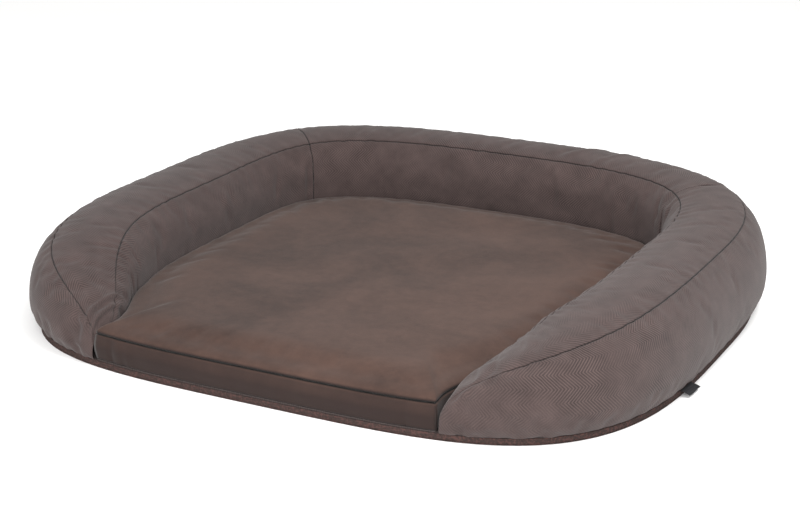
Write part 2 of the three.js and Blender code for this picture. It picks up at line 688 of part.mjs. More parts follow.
function addSeatFoam() {
  const inset = zipDepths(SEAT_FABRIC).tapeInner + GAP;
  const foamLow = seatFoot + SEAT_FABRIC + GAP;
  addPiece('seat_support_foam', prism(seatInset(inset), foamLow, SUPPORT_FOAM_TOP), supportFoamMaterial);
  const rings = crownInsets.map((extra) =>
    atHeight(seatInset(inset + extra), SEAT_SEAM_HEIGHT + crownRise(extra)));
  rings.unshift(atHeight(seatInset(inset), SUPPORT_FOAM_TOP + GAP));
  addPiece('seat_memory_foam', ringSolid(rings), memoryFoamMaterial);
}

function addSeatPanels() {
  addPiece('seat_bottom_panel', prism(seatOutline, seatFoot, seatFoot + SEAT_FABRIC), deckCloth);
  const under = crownInsets.map((extra) =>
    atHeight(seatInset(SEAT_FABRIC + GAP + extra), topPanelRim + crownRise(extra))).reverse();
  const over = crownInsets.map((extra) =>
    atHeight(seatInset(extra), topPanelRim + SEAT_FABRIC + crownRise(extra)));
  addPiece('seat_top_panel', ringSolid([...under, ...over]), nubuck);
}

// ---------------------------------------------------------------- label
function addLabel() {
  const walk = railWalk.find(({ point }) => point.y > LABEL_STATION_Y);
  const rail = railAt(walk.length);
  const outward = rail.inward.clone().negate();
  const group = groupAt(new THREE.Vector3(rail.point.x, rail.point.y, BASE_THICKNESS), outward);
  const tab = new THREE.BoxGeometry(LABEL_LENGTH, LABEL_DEPTH, LABEL_THICKNESS)
    .translate(0, LABEL_DEPTH / 2, 0);
  const label = addPiece('side_label', tab, labelMaterial, group);
  label.rotation.x = -THREE.MathUtils.degToRad(LABEL_DROOP);
  label.position.set(0, GAP + 0.2, -LABEL_THICKNESS);
}

addBase();
addBolsterFill();
addBolsterPanels();
addBolsterZip();
addSeatPanels();
addSeatBoxing();
addSeatFoam();
addSeatZip();
addLabel();

// the origin is on the floor, under the middle of the whole bed
bed.updateMatrixWorld(true);
const whole = new THREE.Box3().setFromObject(bed);
const middle = whole.getCenter(new THREE.Vector3());
bed.position.set(-middle.x, -middle.y, -whole.min.z);
bed.userData.seatLift = BACK_HEIGHT - seatFoot + SEAT_LIFT_CLEARANCE;

export default bed;
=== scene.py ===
# %% [markdown]
# # A pet cushion bed, sewn in code
# The bed is a stuffed U-shaped bolster sewn to a thin padded base, with a boxed foam cushion that
# lifts out of the U. Its frame was designed first, so this lesson starts by loading that frame, and
# every soft piece is then made over the solid that it stands for. Everything is in metres.

# %% The frame
import math

import bpy
import numpy as np
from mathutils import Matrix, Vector


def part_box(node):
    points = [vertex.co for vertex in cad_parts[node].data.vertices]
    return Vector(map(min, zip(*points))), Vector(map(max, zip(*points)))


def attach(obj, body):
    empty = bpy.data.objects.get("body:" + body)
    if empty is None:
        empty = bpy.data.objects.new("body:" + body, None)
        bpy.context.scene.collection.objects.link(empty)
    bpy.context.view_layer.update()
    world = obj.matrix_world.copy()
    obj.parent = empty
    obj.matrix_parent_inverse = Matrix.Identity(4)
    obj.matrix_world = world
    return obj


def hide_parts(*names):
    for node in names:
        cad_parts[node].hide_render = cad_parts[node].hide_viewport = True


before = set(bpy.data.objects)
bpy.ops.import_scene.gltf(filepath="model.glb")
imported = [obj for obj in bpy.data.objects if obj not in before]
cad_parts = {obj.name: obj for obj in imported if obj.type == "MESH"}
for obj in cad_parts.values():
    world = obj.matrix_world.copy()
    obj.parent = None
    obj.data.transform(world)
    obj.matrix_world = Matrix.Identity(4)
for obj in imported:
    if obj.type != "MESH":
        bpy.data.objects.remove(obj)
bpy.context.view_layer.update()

MM = 0.001
scene = bpy.context.scene

# %% [markdown]
# ## The camera
# The bed is looked at from its front right, a little above the arms, through a long lens that
# keeps its far side nearly as large as its near side. The azimuth counts from the bed's own front,
# -Y, towards its right, +X, and the lamps below are placed by the same small function.

# %% Camera
VIEW_AZIMUTH = math.radians(27.44)
VIEW_ELEVATION = math.radians(18.99)
VIEW_DISTANCE = 3.065
VIEW_TARGET = Vector((-0.0187, -0.0085, 0.0625))
VIEW_LENS = 76.54


def direction(azimuth, elevation):
    """The unit vector towards a place round the bed."""
    flat = math.cos(elevation)
    return Vector((math.sin(azimuth) * flat, -math.cos(azimuth) * flat, math.sin(elevation)))


camera = bpy.data.objects.new("camera", bpy.data.cameras.new("camera"))
scene.collection.objects.link(camera)
camera.location = VIEW_TARGET + VIEW_DISTANCE * direction(VIEW_AZIMUTH, VIEW_ELEVATION)
camera.rotation_euler = (camera.location - VIEW_TARGET).to_track_quat("Z", "Y").to_euler()
camera.data.lens = VIEW_LENS
camera.data.sensor_width = 36
camera.data.sensor_fit = "HORIZONTAL"
camera.data.clip_end = 60
scene.camera = camera
scene.view_settings.view_transform = "Standard"
print("camera at", [round(v, 2) for v in camera.location])

# %% [markdown]
# ## The lights
# Two square lamps light the bed. The key stands high on the right and shapes the right arm. The
# front one is larger, stronger, lower and further off, and opens up the front. They are big for
# their distance, so their shadows have soft edges. A nearly white world fills what they leave dark.

# %% Lights
KEY = {"azimuth": 75, "elevation": 60, "distance": 2.1, "size": 1.4, "power": 42}
FRONT = {"azimuth": 14, "elevation": 20, "distance": 3.0, "size": 2.0, "power": 100}
for title, lamp in (("key", KEY), ("front", FRONT)):
    light = bpy.data.objects.new(title + "_light", bpy.data.lights.new(title + "_light", "AREA"))
    scene.collection.objects.link(light)
    towards = direction(math.radians(lamp["azimuth"]), math.radians(lamp["elevation"]))
    light.location = lamp["distance"] * towards
    light.rotation_euler = towards.to_track_quat("Z", "Y").to_euler()
    light.data.size = lamp["size"]
    light.data.energy = lamp["power"]
world = bpy.data.worlds.new("studio")
world.use_nodes = True
background = world.node_tree.nodes["Background"]
background.inputs["Color"].default_value = (1.0, 0.995, 0.985, 1)
background.inputs["Strength"].default_value = 0.94
scene.world = world

# %% [markdown]
# ## The bolster's surface
# The bolster is one long stuffed tube bent to a U. Its foot follows a rail: a squared-off ellipse,
# from the right nose round the back to the left nose. At each station of the rail stands a
# section that leans over its foot, outside and inside. It is written as one formula with two
# numbers, the station along the rail and the wrap around the section, because then a panel is
# just a patch of those numbers, and its cloth can be drawn as finely as it needs. The sizes below
# are the frame's own, and what stands on the frame's deck takes its height from there.

# %% Driving sizes
BED_WIDTH = 1200 * MM
BED_DEPTH = 1078 * MM
FRONT_TO_WIDEST = 572 * MM
FRONT_SQUARENESS = 3.8
BACK_SQUARENESS = 2.82
FRONT_OPENING = 623 * MM
ARM_THICKNESS = 165 * MM
BACK_THICKNESS = 129 * MM
ARM_HEIGHT = 171.5 * MM
BACK_HEIGHT = 185.5 * MM
NOSE_HEIGHT = 25 * MM
NOSE_WIDTH_RUN = 362 * MM
NOSE_HEIGHT_RUN = 551 * MM
NOSE_WIDTH_LEAD = 2.38
NOSE_WIDTH_BLUNTNESS = 2.31
NOSE_HEIGHT_ROUNDNESS = 2.12
NOSE_START = 2.5 * MM
OUTER_BULGE = 18 * MM
INNER_BULGE = 15 * MM
WAIST_SHARE = 0.213
CREST_SHARE = 0.384
OUTER_ROUNDNESS = 2.4
INNER_ROUNDNESS = 4
OUTER_SEAM_WRAP = 1.71
INNER_SEAM_WRAP = 2.43
CORNER_TURN = 0.7

deck_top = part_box("deck_panel")[1].z
FORWARD_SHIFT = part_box("base_panel")[0].y + FRONT_TO_WIDEST
BOLSTER_FOOT = deck_top + 0.3 * MM
FOOT_HALF_WIDTH = BED_WIDTH / 2 - OUTER_BULGE
FOOT_BACK = BED_DEPTH - FRONT_TO_WIDEST - OUTER_BULGE
print("deck top at", round(deck_top / MM, 1), "mm, shift", round(FORWARD_SHIFT / MM, 1), "mm")


# %% The rail
def footprint(angle):
    """The foot line's point at an angle, where -90 degrees is the front and 90 the back."""
    power = np.where(angle < 0, 2 / FRONT_SQUARENESS, 2 / BACK_SQUARENESS)
    reach = np.where(angle < 0, -FRONT_TO_WIDEST, FOOT_BACK)
    x = FOOT_HALF_WIDTH * np.maximum(np.cos(angle), 0) ** power
    return np.stack([x, np.abs(np.sin(angle)) ** power * reach + FORWARD_SHIFT], -1)


tip_angle = -math.acos((FRONT_OPENING / 2 / FOOT_HALF_WIDTH) ** (FRONT_SQUARENESS / 2))
walk = footprint(np.linspace(tip_angle, math.pi / 2, 3001))
walked = np.concatenate([[0], np.cumsum(np.linalg.norm(np.diff(walk, axis=0), axis=1))])
RAIL_HALF = walked[-1]
RAIL_LENGTH = 2 * RAIL_HALF
TANGENT_STEP = 4 * MM


def rail_point(station):
    """The rail's flat point at a station, from the right nose at 0 to the left at RAIL_LENGTH."""
    folded = np.minimum(station, RAIL_LENGTH - station).clip(0, RAIL_HALF)
    x = np.interp(folded, walked, walk[:, 0])
    return np.stack([np.where(station > RAIL_HALF, -x, x), np.interp(folded, walked, walk[:, 1])], -1)


def turned(points_before, points_after):
    """The left normal of the way from one row of flat points to another."""
    along = points_after - points_before
    along /= np.linalg.norm(along, axis=-1, keepdims=True)
    return np.stack([-along[..., 1], along[..., 0]], -1)


def rail_inward(station):
    """The flat direction at a station from the rail towards the seat."""
    low = rail_point(np.maximum(station - TANGENT_STEP, 0))
    high = rail_point(np.minimum(station + TANGENT_STEP, RAIL_LENGTH))
    return turned(low, high)


corner_stations = np.linspace(0, RAIL_HALF, 3001)
CORNER_STATION = corner_stations[np.argmax(-rail_inward(corner_stations)[:, 1] > CORNER_TURN)]
print("rail", round(RAIL_LENGTH, 3), "m, back corner at", round(float(CORNER_STATION), 3), "m")


# %% The section
def growth(distance, run, lead, bluntness):
    """How a nose fills out from 0 at its tip to 1 at the end of its run."""
    return (1 - (1 - np.clip(distance / run, 0, 1)) ** lead) ** (1 / bluntness)


def mixed(low, high, share):
    return low + (high - low) * share


def section(station):
    """The sizes of the bolster's section at each station."""
    from_nose = np.minimum(station, RAIL_LENGTH - station)
    backness = np.clip(-rail_inward(station)[..., 1], 0, 1)
    wide = growth(from_nose, NOSE_WIDTH_RUN, NOSE_WIDTH_LEAD, NOSE_WIDTH_BLUNTNESS)
    tall = growth(from_nose, NOSE_HEIGHT_RUN, NOSE_HEIGHT_ROUNDNESS, NOSE_HEIGHT_ROUNDNESS)
    crest = NOSE_HEIGHT + (mixed(ARM_HEIGHT, BACK_HEIGHT, backness) - NOSE_HEIGHT) * tall
    return {
        "backness": backness,
        "width": mixed(ARM_THICKNESS, BACK_THICKNESS, backness) * wide,
        "crest": crest,
        "waist": BOLSTER_FOOT + (crest - BOLSTER_FOOT) * WAIST_SHARE,
        "outer": OUTER_BULGE * tall,
        "inner": INNER_BULGE * wide,
    }


def bolster_surface(station, wrap):
    """Points for a column of stations and a matching grid of wraps: 0 is the outer foot, 1 the
    outer waist, 2 the crest, 3 the inner waist and 4 the inner foot."""
    station = np.asarray(station, float)[:, None]
    wrap = np.broadcast_to(wrap, (len(station), np.shape(wrap)[-1]))
    part = section(station)
    crest_across = CREST_SHARE * part["width"]
    drop = np.where(wrap < 1, 1 - wrap, wrap - 3).clip(0, 1)
    bulge = 1 - drop * drop
    low_across = np.where(wrap < 1, -part["outer"] * bulge, part["width"] + part["inner"] * bulge)
    low_height = part["waist"] - (part["waist"] - BOLSTER_FOOT) * drop
    outside = wrap <= 2
    power = np.where(outside, OUTER_ROUNDNESS, INNER_ROUNDNESS)
    turn = np.where(outside, wrap - 1, 3 - wrap).clip(0, 1) * math.pi / 2
    cosine, sine = np.cos(turn).clip(0, 1), np.sin(turn)
    reach = (cosine**power + sine**power) ** (-1 / power)
    inner_side = part["width"] - crest_across + part["inner"]
    side = np.where(outside, -(crest_across + part["outer"]), inner_side)
    high = (wrap >= 1) & (wrap <= 3)
    across = np.where(high, crest_across + side * cosine * reach, low_across)
    height = np.where(high, part["waist"] + (part["crest"] - part["waist"]) * sine * reach, low_height)
    flat = rail_point(station) + rail_inward(station) * across[..., None]
    return np.concatenate([flat, height[..., None]], -1)


middle = bolster_surface([RAIL_HALF], [[1.0, 2.0, 3.0]])[0] / MM
print("back section, outer waist, crest and inner waist:", middle.round(1).tolist())

# %% [markdown]
# ## Letting the cloth settle
# A stuffed cover never follows a formula: filling pushes it out between its seams, and where a
# straight strip of cloth is sewn round a bend, its spare length gathers into puckers. Blender's
# cloth solver gives that for nothing. The panel grid is pinned at its seams and blown up a little.
# It has a trace of spare length all over, and more where the real cover has it, at the inside of
# the back corners and at the noses. What is kept is how far each point moved, capped, so it can be
# drawn on any grid.

# %% Meshes from grids
def grid_faces(rows, columns, loop=False):
    """Quads between the rows and columns of a grid, and round to the first row if it is a loop."""
    i = np.arange(rows if loop else rows - 1)[:, None]
    j = np.arange(columns - 1)[None, :]
    after = (i + 1) % rows
    corners = [i * columns + j, after * columns + j, after * columns + j + 1, i * columns + j + 1]
    return np.stack(np.broadcast_arrays(*corners), -1).reshape(-1, 4)


def mesh_object(name, points, faces):
    """An object from points, and from faces that are an array or lists of mixed lengths."""
    mesh = bpy.data.meshes.new(name)
    listed = faces if isinstance(faces, list) else faces.tolist()
    mesh.from_pydata(np.asarray(points, float).reshape(-1, 3).tolist(), [], listed)
    mesh.update()
    made = bpy.data.objects.new(name, mesh)
    scene.collection.objects.link(made)
    return made


def face_out(made):
    """Turns a closed mesh's faces outwards and shades it smooth."""
    mesh = made.data
    mesh.calc_loop_triangles()
    points = np.zeros(len(mesh.vertices) * 3)
    mesh.vertices.foreach_get("co", points)
    order = np.zeros(len(mesh.loop_triangles) * 3, int)
    mesh.loop_triangles.foreach_get("vertices", order)
    a, b, c = points.reshape(-1, 3)[order.reshape(-1, 3)].transpose(1, 0, 2)
    if (a * np.cross(b, c)).sum() < 0:
        mesh.flip_normals()
    mesh.shade_smooth()
    return made


# %% A cloth that settles
CLOTH_FRAMES = 20
MOST_SLACK = 0.06


def settled(name, rest, held, slack, cap, pressure=4, loop=False):
    """How far each point of a grid of cloth moves under pressure, eased off towards a cap. held is
    1 at a seam, and slack is the share of spare length from 0 to MOST_SLACK."""
    rows, columns = rest.shape[:2]
    cloth = mesh_object(name, rest, grid_faces(rows, columns, loop))
    for title, weights in (("held", held), ("taut", 1 - slack / MOST_SLACK)):
        group = cloth.vertex_groups.new(name=title)
        for index, weight in enumerate(np.asarray(weights, float).ravel()):
            group.add([index], float(weight), "REPLACE")
    modifier = cloth.modifiers.new("cloth", "CLOTH")
    settings = modifier.settings
    settings.quality = 5
    settings.mass = 0.3
    settings.tension_stiffness = 15
    settings.compression_stiffness = 15
    settings.shear_stiffness = 5
    settings.bending_stiffness = 1.2
    settings.vertex_group_mass = "held"
    settings.pin_stiffness = 1
    settings.shrink_max = 0
    settings.shrink_min = -MOST_SLACK
    settings.vertex_group_shrink = "taut"
    settings.use_pressure = True
    settings.uniform_pressure_force = pressure
    settings.effector_weights.gravity = 0
    modifier.collision_settings.use_collision = False
    modifier.point_cache.frame_end = CLOTH_FRAMES
    for frame_number in range(1, CLOTH_FRAMES + 1):
        scene.frame_set(frame_number)
    shown = cloth.evaluated_get(bpy.context.evaluated_depsgraph_get()).data
    points = np.zeros(len(shown.vertices) * 3)
    shown.vertices.foreach_get("co", points)
    bpy.data.objects.remove(cloth)
    scene.frame_set(1)
    moved = points.reshape(rest.shape) - rest
    far = np.linalg.norm(moved, axis=-1, keepdims=True)
    print(name, "cloth moved at most", round(float(far.max()) / MM, 1), "mm")
    return moved * (cap * np.tanh(far / cap) / np.maximum(far, 1e-9))


# %% The bolster settles
SEAM_WRAPS = (0, OUTER_SEAM_WRAP, INNER_SEAM_WRAP, 4)
CLOTH_STEP = 11 * MM
BOLSTER_CAP = 7 * MM
CROSS_SEAM_HOLD = 0.6
# shares of spare length, and how far along the rail they reach
EVEN_SLACK = 0.004
INNER_SLACK = 0.012
CORNER_SLACK = 0.05
CORNER_REACH = 0.11
NOSE_SLACK = 0.018
NOSE_REACH = 0.2
coarse_wraps = np.unique(np.concatenate([
    np.linspace(low, high, count)
    for low, high, count in zip(SEAM_WRAPS, SEAM_WRAPS[1:], (20, 10, 22))
]))
coarse_count = int((RAIL_LENGTH - 2 * NOSE_START) / CLOTH_STEP)
coarse_stations = np.linspace(NOSE_START, RAIL_LENGTH - NOSE_START, coarse_count)


def near(values, places, reach):
    """1 at the places, falling softly to 0 over a reach."""
    gap = np.min(np.abs(np.asarray(values)[..., None] - np.asarray(places)), axis=-1)
    return np.exp(-((gap / reach) ** 2))


corner_places = (CORNER_STATION, RAIL_LENGTH - CORNER_STATION)
nose_places = (0, RAIL_LENGTH)
at_seam = near(coarse_wraps, SEAM_WRAPS, 1e-4)[None, :]
at_corner = near(coarse_stations, corner_places, 1e-4 + CLOTH_STEP / 2)[:, None]
at_tip = near(coarse_stations, nose_places, 2 * CLOTH_STEP)[:, None]
held = np.clip(np.maximum(np.maximum(at_seam, CROSS_SEAM_HOLD * at_corner), at_tip), 0, 1)
inside = np.clip((coarse_wraps - INNER_SEAM_WRAP) / 0.5, 0, 1)[None, :]
slack = EVEN_SLACK + CORNER_SLACK * near(coarse_stations, corner_places, CORNER_REACH)[:, None] * inside
slack = slack + NOSE_SLACK * near(coarse_stations, nose_places, NOSE_REACH)[:, None]
slack = slack + INNER_SLACK * inside * np.ones((coarse_count, 1))
slack = np.minimum(slack, MOST_SLACK)
bolster_rest = bolster_surface(coarse_stations, coarse_wraps[None, :])
bolster_moved = settled("bolster_cloth", bolster_rest, held, slack, BOLSTER_CAP)

# %% [markdown]
# ## Reading the settled cloth
# The solver's grid is far coarser than a seam, so its movement is read back with a smooth curve
# through the grid points, and the small things are added by formula: short gathers that every
# seam pulls into the cloth beside it, and a few folds at the noses, on the back and at its corners.

# %% Reading a grid and making waves
def cubic(before, start, end, after, share):
    """A Catmull-Rom curve through start and end."""
    slope = (end - before) / 2
    bend = before - 2.5 * start + 2 * end - after / 2
    twist = (after - before) / 2 + 1.5 * (start - end)
    return start + share * (slope + share * (bend + share * twist))


def sampled(grid, places, axis_values, axis):
    """The grid's values at places along one of its axes, whose values are axis_values."""
    count = len(axis_values)
    at = np.interp(places, axis_values, np.arange(count))
    low = np.minimum(at.astype(int), count - 2)
    share = (at - low).reshape((-1,) + (1,) * (grid.ndim - 1))
    rows = np.moveaxis(grid, axis, 0)
    picked = [rows[np.clip(low + offset, 0, count - 1)] for offset in (-1, 0, 1, 2)]
    return np.moveaxis(cubic(*picked, share), 0, axis)


def ripple(along, seed, wavelength):
    """A smooth irregular wave between about -1 and 1."""
    rng = np.random.default_rng(seed)
    total = np.zeros_like(np.asarray(along, float))
    for _ in range(5):
        length = wavelength * rng.uniform(0.6, 1.8)
        total += np.sin(2 * math.pi * along / length + rng.uniform(0, 2 * math.pi)) / 2.4
    return total


# %% Folds and gathers
ZIP_HALF = (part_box("back_zip_tape")[1].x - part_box("back_zip_tape")[0].x) / 2
OUTSIDE_SWELL = 9 * MM
BESIDE_SEAT_SWELL = 1.2 * MM
GATHER_HEIGHT = 0.9 * MM
GATHER_LENGTH = 34 * MM
GATHER_REACH = 0.14
GATHER_SEED = 10
NORMAL_STEP = 0.01
# station, wrap, direction of the ridge in station per wrap, half length in wrap, half width, height
FOLDS = (
    (RAIL_LENGTH - 0.040, 2.05, -0.032, 0.50, 3.6 * MM, 8.5 * MM),
    (RAIL_LENGTH - 0.022, 2.00, -0.030, 0.50, 3.2 * MM, 7.5 * MM),
    (RAIL_HALF - 0.16, 2.05, 0.10, 0.38, 11 * MM, 2.6 * MM),
    (RAIL_HALF - 0.235, 2.0, 0.08, 0.36, 9 * MM, 2.0 * MM),
    (RAIL_LENGTH - CORNER_STATION - 0.045, 3.2, 0.012, 0.55, 7 * MM, 4.0 * MM),
    (RAIL_LENGTH - CORNER_STATION - 0.088, 3.35, -0.02, 0.5, 8 * MM, 2.8 * MM),
    (CORNER_STATION + 0.05, 3.25, -0.012, 0.55, 7 * MM, 3.2 * MM),
    (0.15, 2.2, 0.05, 0.3, 9 * MM, 1.6 * MM),
)


def zip_guard(station, wrap):
    """0 over the back zip, whose tape and chain are flat, and 1 away from it."""
    along = np.clip((np.abs(station - RAIL_HALF) - ZIP_HALF) / 0.05, 0, 1)
    around = np.clip((np.abs(wrap - 1) - 0.40) / 0.3, 0, 1)
    share = np.maximum(along, around)
    return share * share * (3 - 2 * share)


def bolster_cover(station, wrap):
    """The settled cover: the formula's surface, the cloth's movement, the folds and the gathers."""
    station = np.asarray(station, float)
    wrap = np.broadcast_to(wrap, (len(station), np.shape(wrap)[-1]))
    rest = bolster_surface(station, wrap)
    rows = sampled(bolster_moved, station, coarse_stations, 0)
    moved = np.stack([
        sampled(row, places, coarse_wraps, 0) for row, places in zip(rows, wrap)
    ])
    outward = cover_normals(bolster_surface, station, wrap, NORMAL_STEP)
    relief = np.zeros(wrap.shape)
    for at, around, slant, length, width, height in FOLDS:
        across = (station[:, None] - at - slant * (wrap - around)) / width
        lengthwise = (wrap - around) / length
        ridge = np.exp(-(across**2)) - 0.5 * np.exp(-((across - 1.7) ** 2))
        relief += height * ridge * np.exp(-(lengthwise**4))
    for index, seam in enumerate(SEAM_WRAPS):
        wave = ripple(station, GATHER_SEED + index, GATHER_LENGTH)[:, None]
        relief += GATHER_HEIGHT * np.exp(-np.abs(wrap - seam) / GATHER_REACH) * wave
    from_nose = np.minimum(station, RAIL_LENGTH - station)[:, None]
    calm = np.clip(from_nose / 0.02, 0, 1) * zip_guard(station[:, None], wrap)
    lifted = (moved * outward).sum(-1, keepdims=True)
    out = lifted[..., 0] + relief
    # beside the seat the cover may dent but hardly swell, because the cushion lifts past it
    beside_seat = np.clip((wrap - 2.55) / 0.3, 0, 1)
    most = mixed(OUTSIDE_SWELL, BESIDE_SEAT_SWELL, beside_seat)
    held_back = np.where(out > 0, most * np.tanh(out / most), out)
    sideways = moved - lifted * outward
    return rest + (outward * held_back[..., None] + sideways) * calm[..., None]


def cover_normals(cover, along, over, step):
    """Normals of a cover, from its own points a little way along it and a step over it."""
    ahead = cover(along + 1 * MM, over) - cover(along - 1 * MM, over)
    across = cover(along, over + step) - cover(along, over - step)
    normal = np.cross(ahead, across)
    return normal / np.maximum(np.linalg.norm(normal, axis=-1, keepdims=True), 1e-12)


settled_back = bolster_cover(np.array([RAIL_HALF, RAIL_HALF + 5 * MM]), [[1.0, 2.0, 3.0]])
print("settled back section:", (settled_back[0] / MM).round(1).tolist())

# %% [markdown]
# ## A sewn panel
# Each panel of the cover is cut on its own, laid right sides together with the next, stitched, and
# turned. So at a seam both cloths roll down into a narrow valley and end as an allowance on the
# inside. Carving a groove into one big surface would give the shade of a seam but not its pieces.
# Here every panel is a closed shell of real thickness whose edges roll inwards, so the dark line
# of the seam is the gap between two pieces, as it is on the bed, deepened by a painted shade on the
# cloth that rolls into it.

# %% How a panel's edge rolls
EDGE_GAP = 0.25 * MM
TOUCHING = 0.03 * MM
ALLOWANCE = 6 * MM


def edge_path(roll, thickness):
    """Distance from the seam and depth under the surface of the outer and the inner face, from
    the end of the allowance to the flat of the panel."""
    outer = [(TOUCHING, ALLOWANCE), (EDGE_GAP, roll)]
    inner = [(TOUCHING + thickness, ALLOWANCE), (EDGE_GAP + thickness, max(roll, thickness))]
    least = max(roll - thickness, 0.2 * MM)
    for turn in np.radians((22, 45, 67, 90)):
        sine, cosine = math.sin(turn), math.cos(turn)
        outer.append((EDGE_GAP + roll * (1 - cosine), roll * (1 - sine)))
        inner.append((EDGE_GAP + thickness + least * (1 - cosine), thickness + least * (1 - sine)))
    return outer, inner


def edge_columns(path, size, steps):
    """Places from 0 to size, and their depths: the edge path, an even middle, and the path back."""
    reach = path[-1][0]
    start = [p[0] for p in path]
    between = np.linspace(reach, size - reach, steps + 1)[1:-1].tolist()
    places = start + between + [size - p for p in reversed(start)]
    depths = [p[1] for p in path]
    return np.array(places), np.array(depths + [0.0] * len(between) + depths[::-1])


def shell_faces(rows, columns, hole=None):
    """Faces of a closed shell between two grids, with an opening where hole gives its cells."""
    count = rows * columns
    outer = grid_faces(rows, columns)
    kept = np.ones(len(outer), bool)
    rims = []
    i = np.arange(rows - 1)
    j = np.arange(columns - 1)
    right = columns - 1
    bottom = (rows - 1) * columns
    rims.append(((i + 1) * columns, i * columns))
    rims.append((i * columns + right, (i + 1) * columns + right))
    rims.append((j, j + 1))
    rims.append((bottom + j + 1, bottom + j))
    if hole is not None:
        (row_from, row_to), (column_from, column_to) = hole
        cell = kept.reshape(rows - 1, columns - 1)
        cell[row_from:row_to, column_from:column_to] = False
        i = np.arange(row_from, row_to)
        j = np.arange(column_from, column_to)
        rims.append((i * columns + column_from, (i + 1) * columns + column_from))
        rims.append(((i + 1) * columns + column_to, i * columns + column_to))
        rims.append((row_from * columns + j + 1, row_from * columns + j))
        rims.append((row_to * columns + j, row_to * columns + j + 1))
    outer = outer[kept]
    sides = [np.stack([a, b, b + count, a + count], -1) for a, b in rims]
    return np.concatenate([outer, outer[:, ::-1] + count, *sides])


def shade_seams(mesh, depth, roll):
    """Stores how deep in its seam each point of a cloth lies, from 0 to 1, the mask of the painted seam
    shade.
    """
    layer = mesh.attributes.new("seam", "FLOAT", "POINT")
    layer.data.foreach_set("value", np.clip(depth / roll, 0, 1).astype(np.float32).ravel())


def finish_mesh(name, points, faces, weave=None):
    """An object with smooth faces, facing out, and its cloth coordinates in metres."""
    made = face_out(mesh_object(name, points, faces))
    mesh = made.data
    if weave is not None:
        layer = mesh.uv_layers.new(name="weave")
        order = np.zeros(len(mesh.loops), int)
        mesh.loops.foreach_get("vertex_index", order)
        layer.uv.foreach_set("vector", np.asarray(weave, np.float32)[order].ravel())
    return made


# %% [markdown]
# ## Cutting a panel to its cover
# A panel is a band of the cover between two wraps. Its columns are spaced by real distance over the
# cloth and not by wrap, so that the weave keeps its size on the wide middle of an arm and on its
# narrow nose. The outer and the inner face are each sunk by their own depth, and a rounded end rolls
# down in the same way as a side, which makes the cross seams of the back corners.

# %% A panel
FINE_STEP = 5.5 * MM
ROLL = 2.8 * MM
COVER_CLOTH = 2.0 * MM
PROBES = 160
END_ROLL_SHARE = 0.9
SEAM_SHADE_SHARE = 0.8


def sewn_panel(name, cover, stations, wraps, columns, lowest, rounded_ends, hole=None):
    """A panel of a cover between two wraps, with its rows at the stations, and no point under
    lowest. hole is the two stations and the two wraps of an opening."""
    fine = np.linspace(0, 1, PROBES)
    probe = cover(stations, mixed(wraps[0], wraps[1], fine)[None, :])
    steps = np.linalg.norm(np.diff(probe, axis=1), axis=-1)
    across = np.concatenate([np.zeros((len(stations), 1)), np.cumsum(steps, axis=1)], 1)
    along = np.concatenate([[0], np.cumsum(np.linalg.norm(
        np.diff(probe[:, len(fine) // 2], axis=0), axis=-1))])
    sizes = across[:, -1]
    faces_at = []
    depths_at = []
    for face in (0, 1):
        path = edge_path(ROLL, COVER_CLOTH)[face]
        full = np.median(sizes)
        places, depths = edge_columns(path, full, columns)
        ease = np.minimum(1, sizes / full)[:, None]
        wrap_grid = np.stack([
            mixed(wraps[0], wraps[1], np.interp(places / full, row / row[-1], fine))
            for row in across
        ])
        if hole is not None:
            middle_row = wrap_grid[len(stations) // 2]
            columns_cut = [int(np.argmin(np.abs(middle_row - w))) for w in hole[1]]
            wrap_grid[:, columns_cut] = hole[1]
        surface = cover(stations, wrap_grid)
        depth = depths[None, :] * ease + (COVER_CLOTH * ease if face else 0) * (depths[None, :] == 0)
        for end, rounded in enumerate(rounded_ends):
            if not rounded:
                continue
            from_end = np.abs(stations - stations[-end])[:, None]
            turn = np.clip(1 - from_end / ROLL, 0, 1)
            depth = depth + ROLL * (1 - np.sqrt(1 - turn**2)) * END_ROLL_SHARE
        normal = cover_normals(cover, stations, wrap_grid, NORMAL_STEP)
        placed = surface - normal * depth[..., None]
        placed[..., 2] = np.maximum(placed[..., 2], lowest)
        faces_at.append(placed)
        depths_at.append(np.broadcast_to(depth, surface.shape[:2]) - COVER_CLOTH * face)
        if face == 0:
            weave_v = places[None, :] / full * sizes[:, None]
            weave_u = np.broadcast_to(along[:, None], weave_v.shape)
            weave = np.stack([weave_u, weave_v], -1).reshape(-1, 2)
    cells = None
    if hole is not None:
        rows_cut = [int(np.argmin(np.abs(stations - s))) for s in hole[0]]
        cells = (rows_cut, columns_cut)
    shell = shell_faces(len(stations), surface.shape[1], cells)
    points = np.concatenate([part.reshape(-1, 3) for part in faces_at])
    made = finish_mesh(name, points, shell, np.concatenate([weave, weave]))
    shade_seams(made.data, np.stack(depths_at), SEAM_SHADE_SHARE * ROLL)
    return made


# %% [markdown]
# ## Colours and nodes
# Colours are picked as sRGB hex values and turned to the linear light that Blender mixes in. The
# materials below share one small function that adds a node, sets it and links it.


# %% Two helpers for materials
def linear(hex_colour):
    """A colour such as 8a7f7c as linear red, green, blue and alpha."""
    parts = [int(hex_colour[i : i + 2], 16) / 255 for i in (0, 2, 4)]
    light = [p / 12.92 if p <= 0.04045 else ((p + 0.055) / 1.055) ** 2.4 for p in parts]
    return (*light, 1.0)


def add(tree, kind, inputs=(), **settings):
    """Adds a node with its settings; each input is a value or another node's output."""
    made = tree.nodes.new("ShaderNode" + kind)
    for title, value in settings.items():
        setattr(made, title, value)
    for socket, value in dict(inputs).items():
        if isinstance(value, bpy.types.NodeSocket):
            tree.links.new(value, made.inputs[socket])
        else:
            made.inputs[socket].default_value = value
    return made


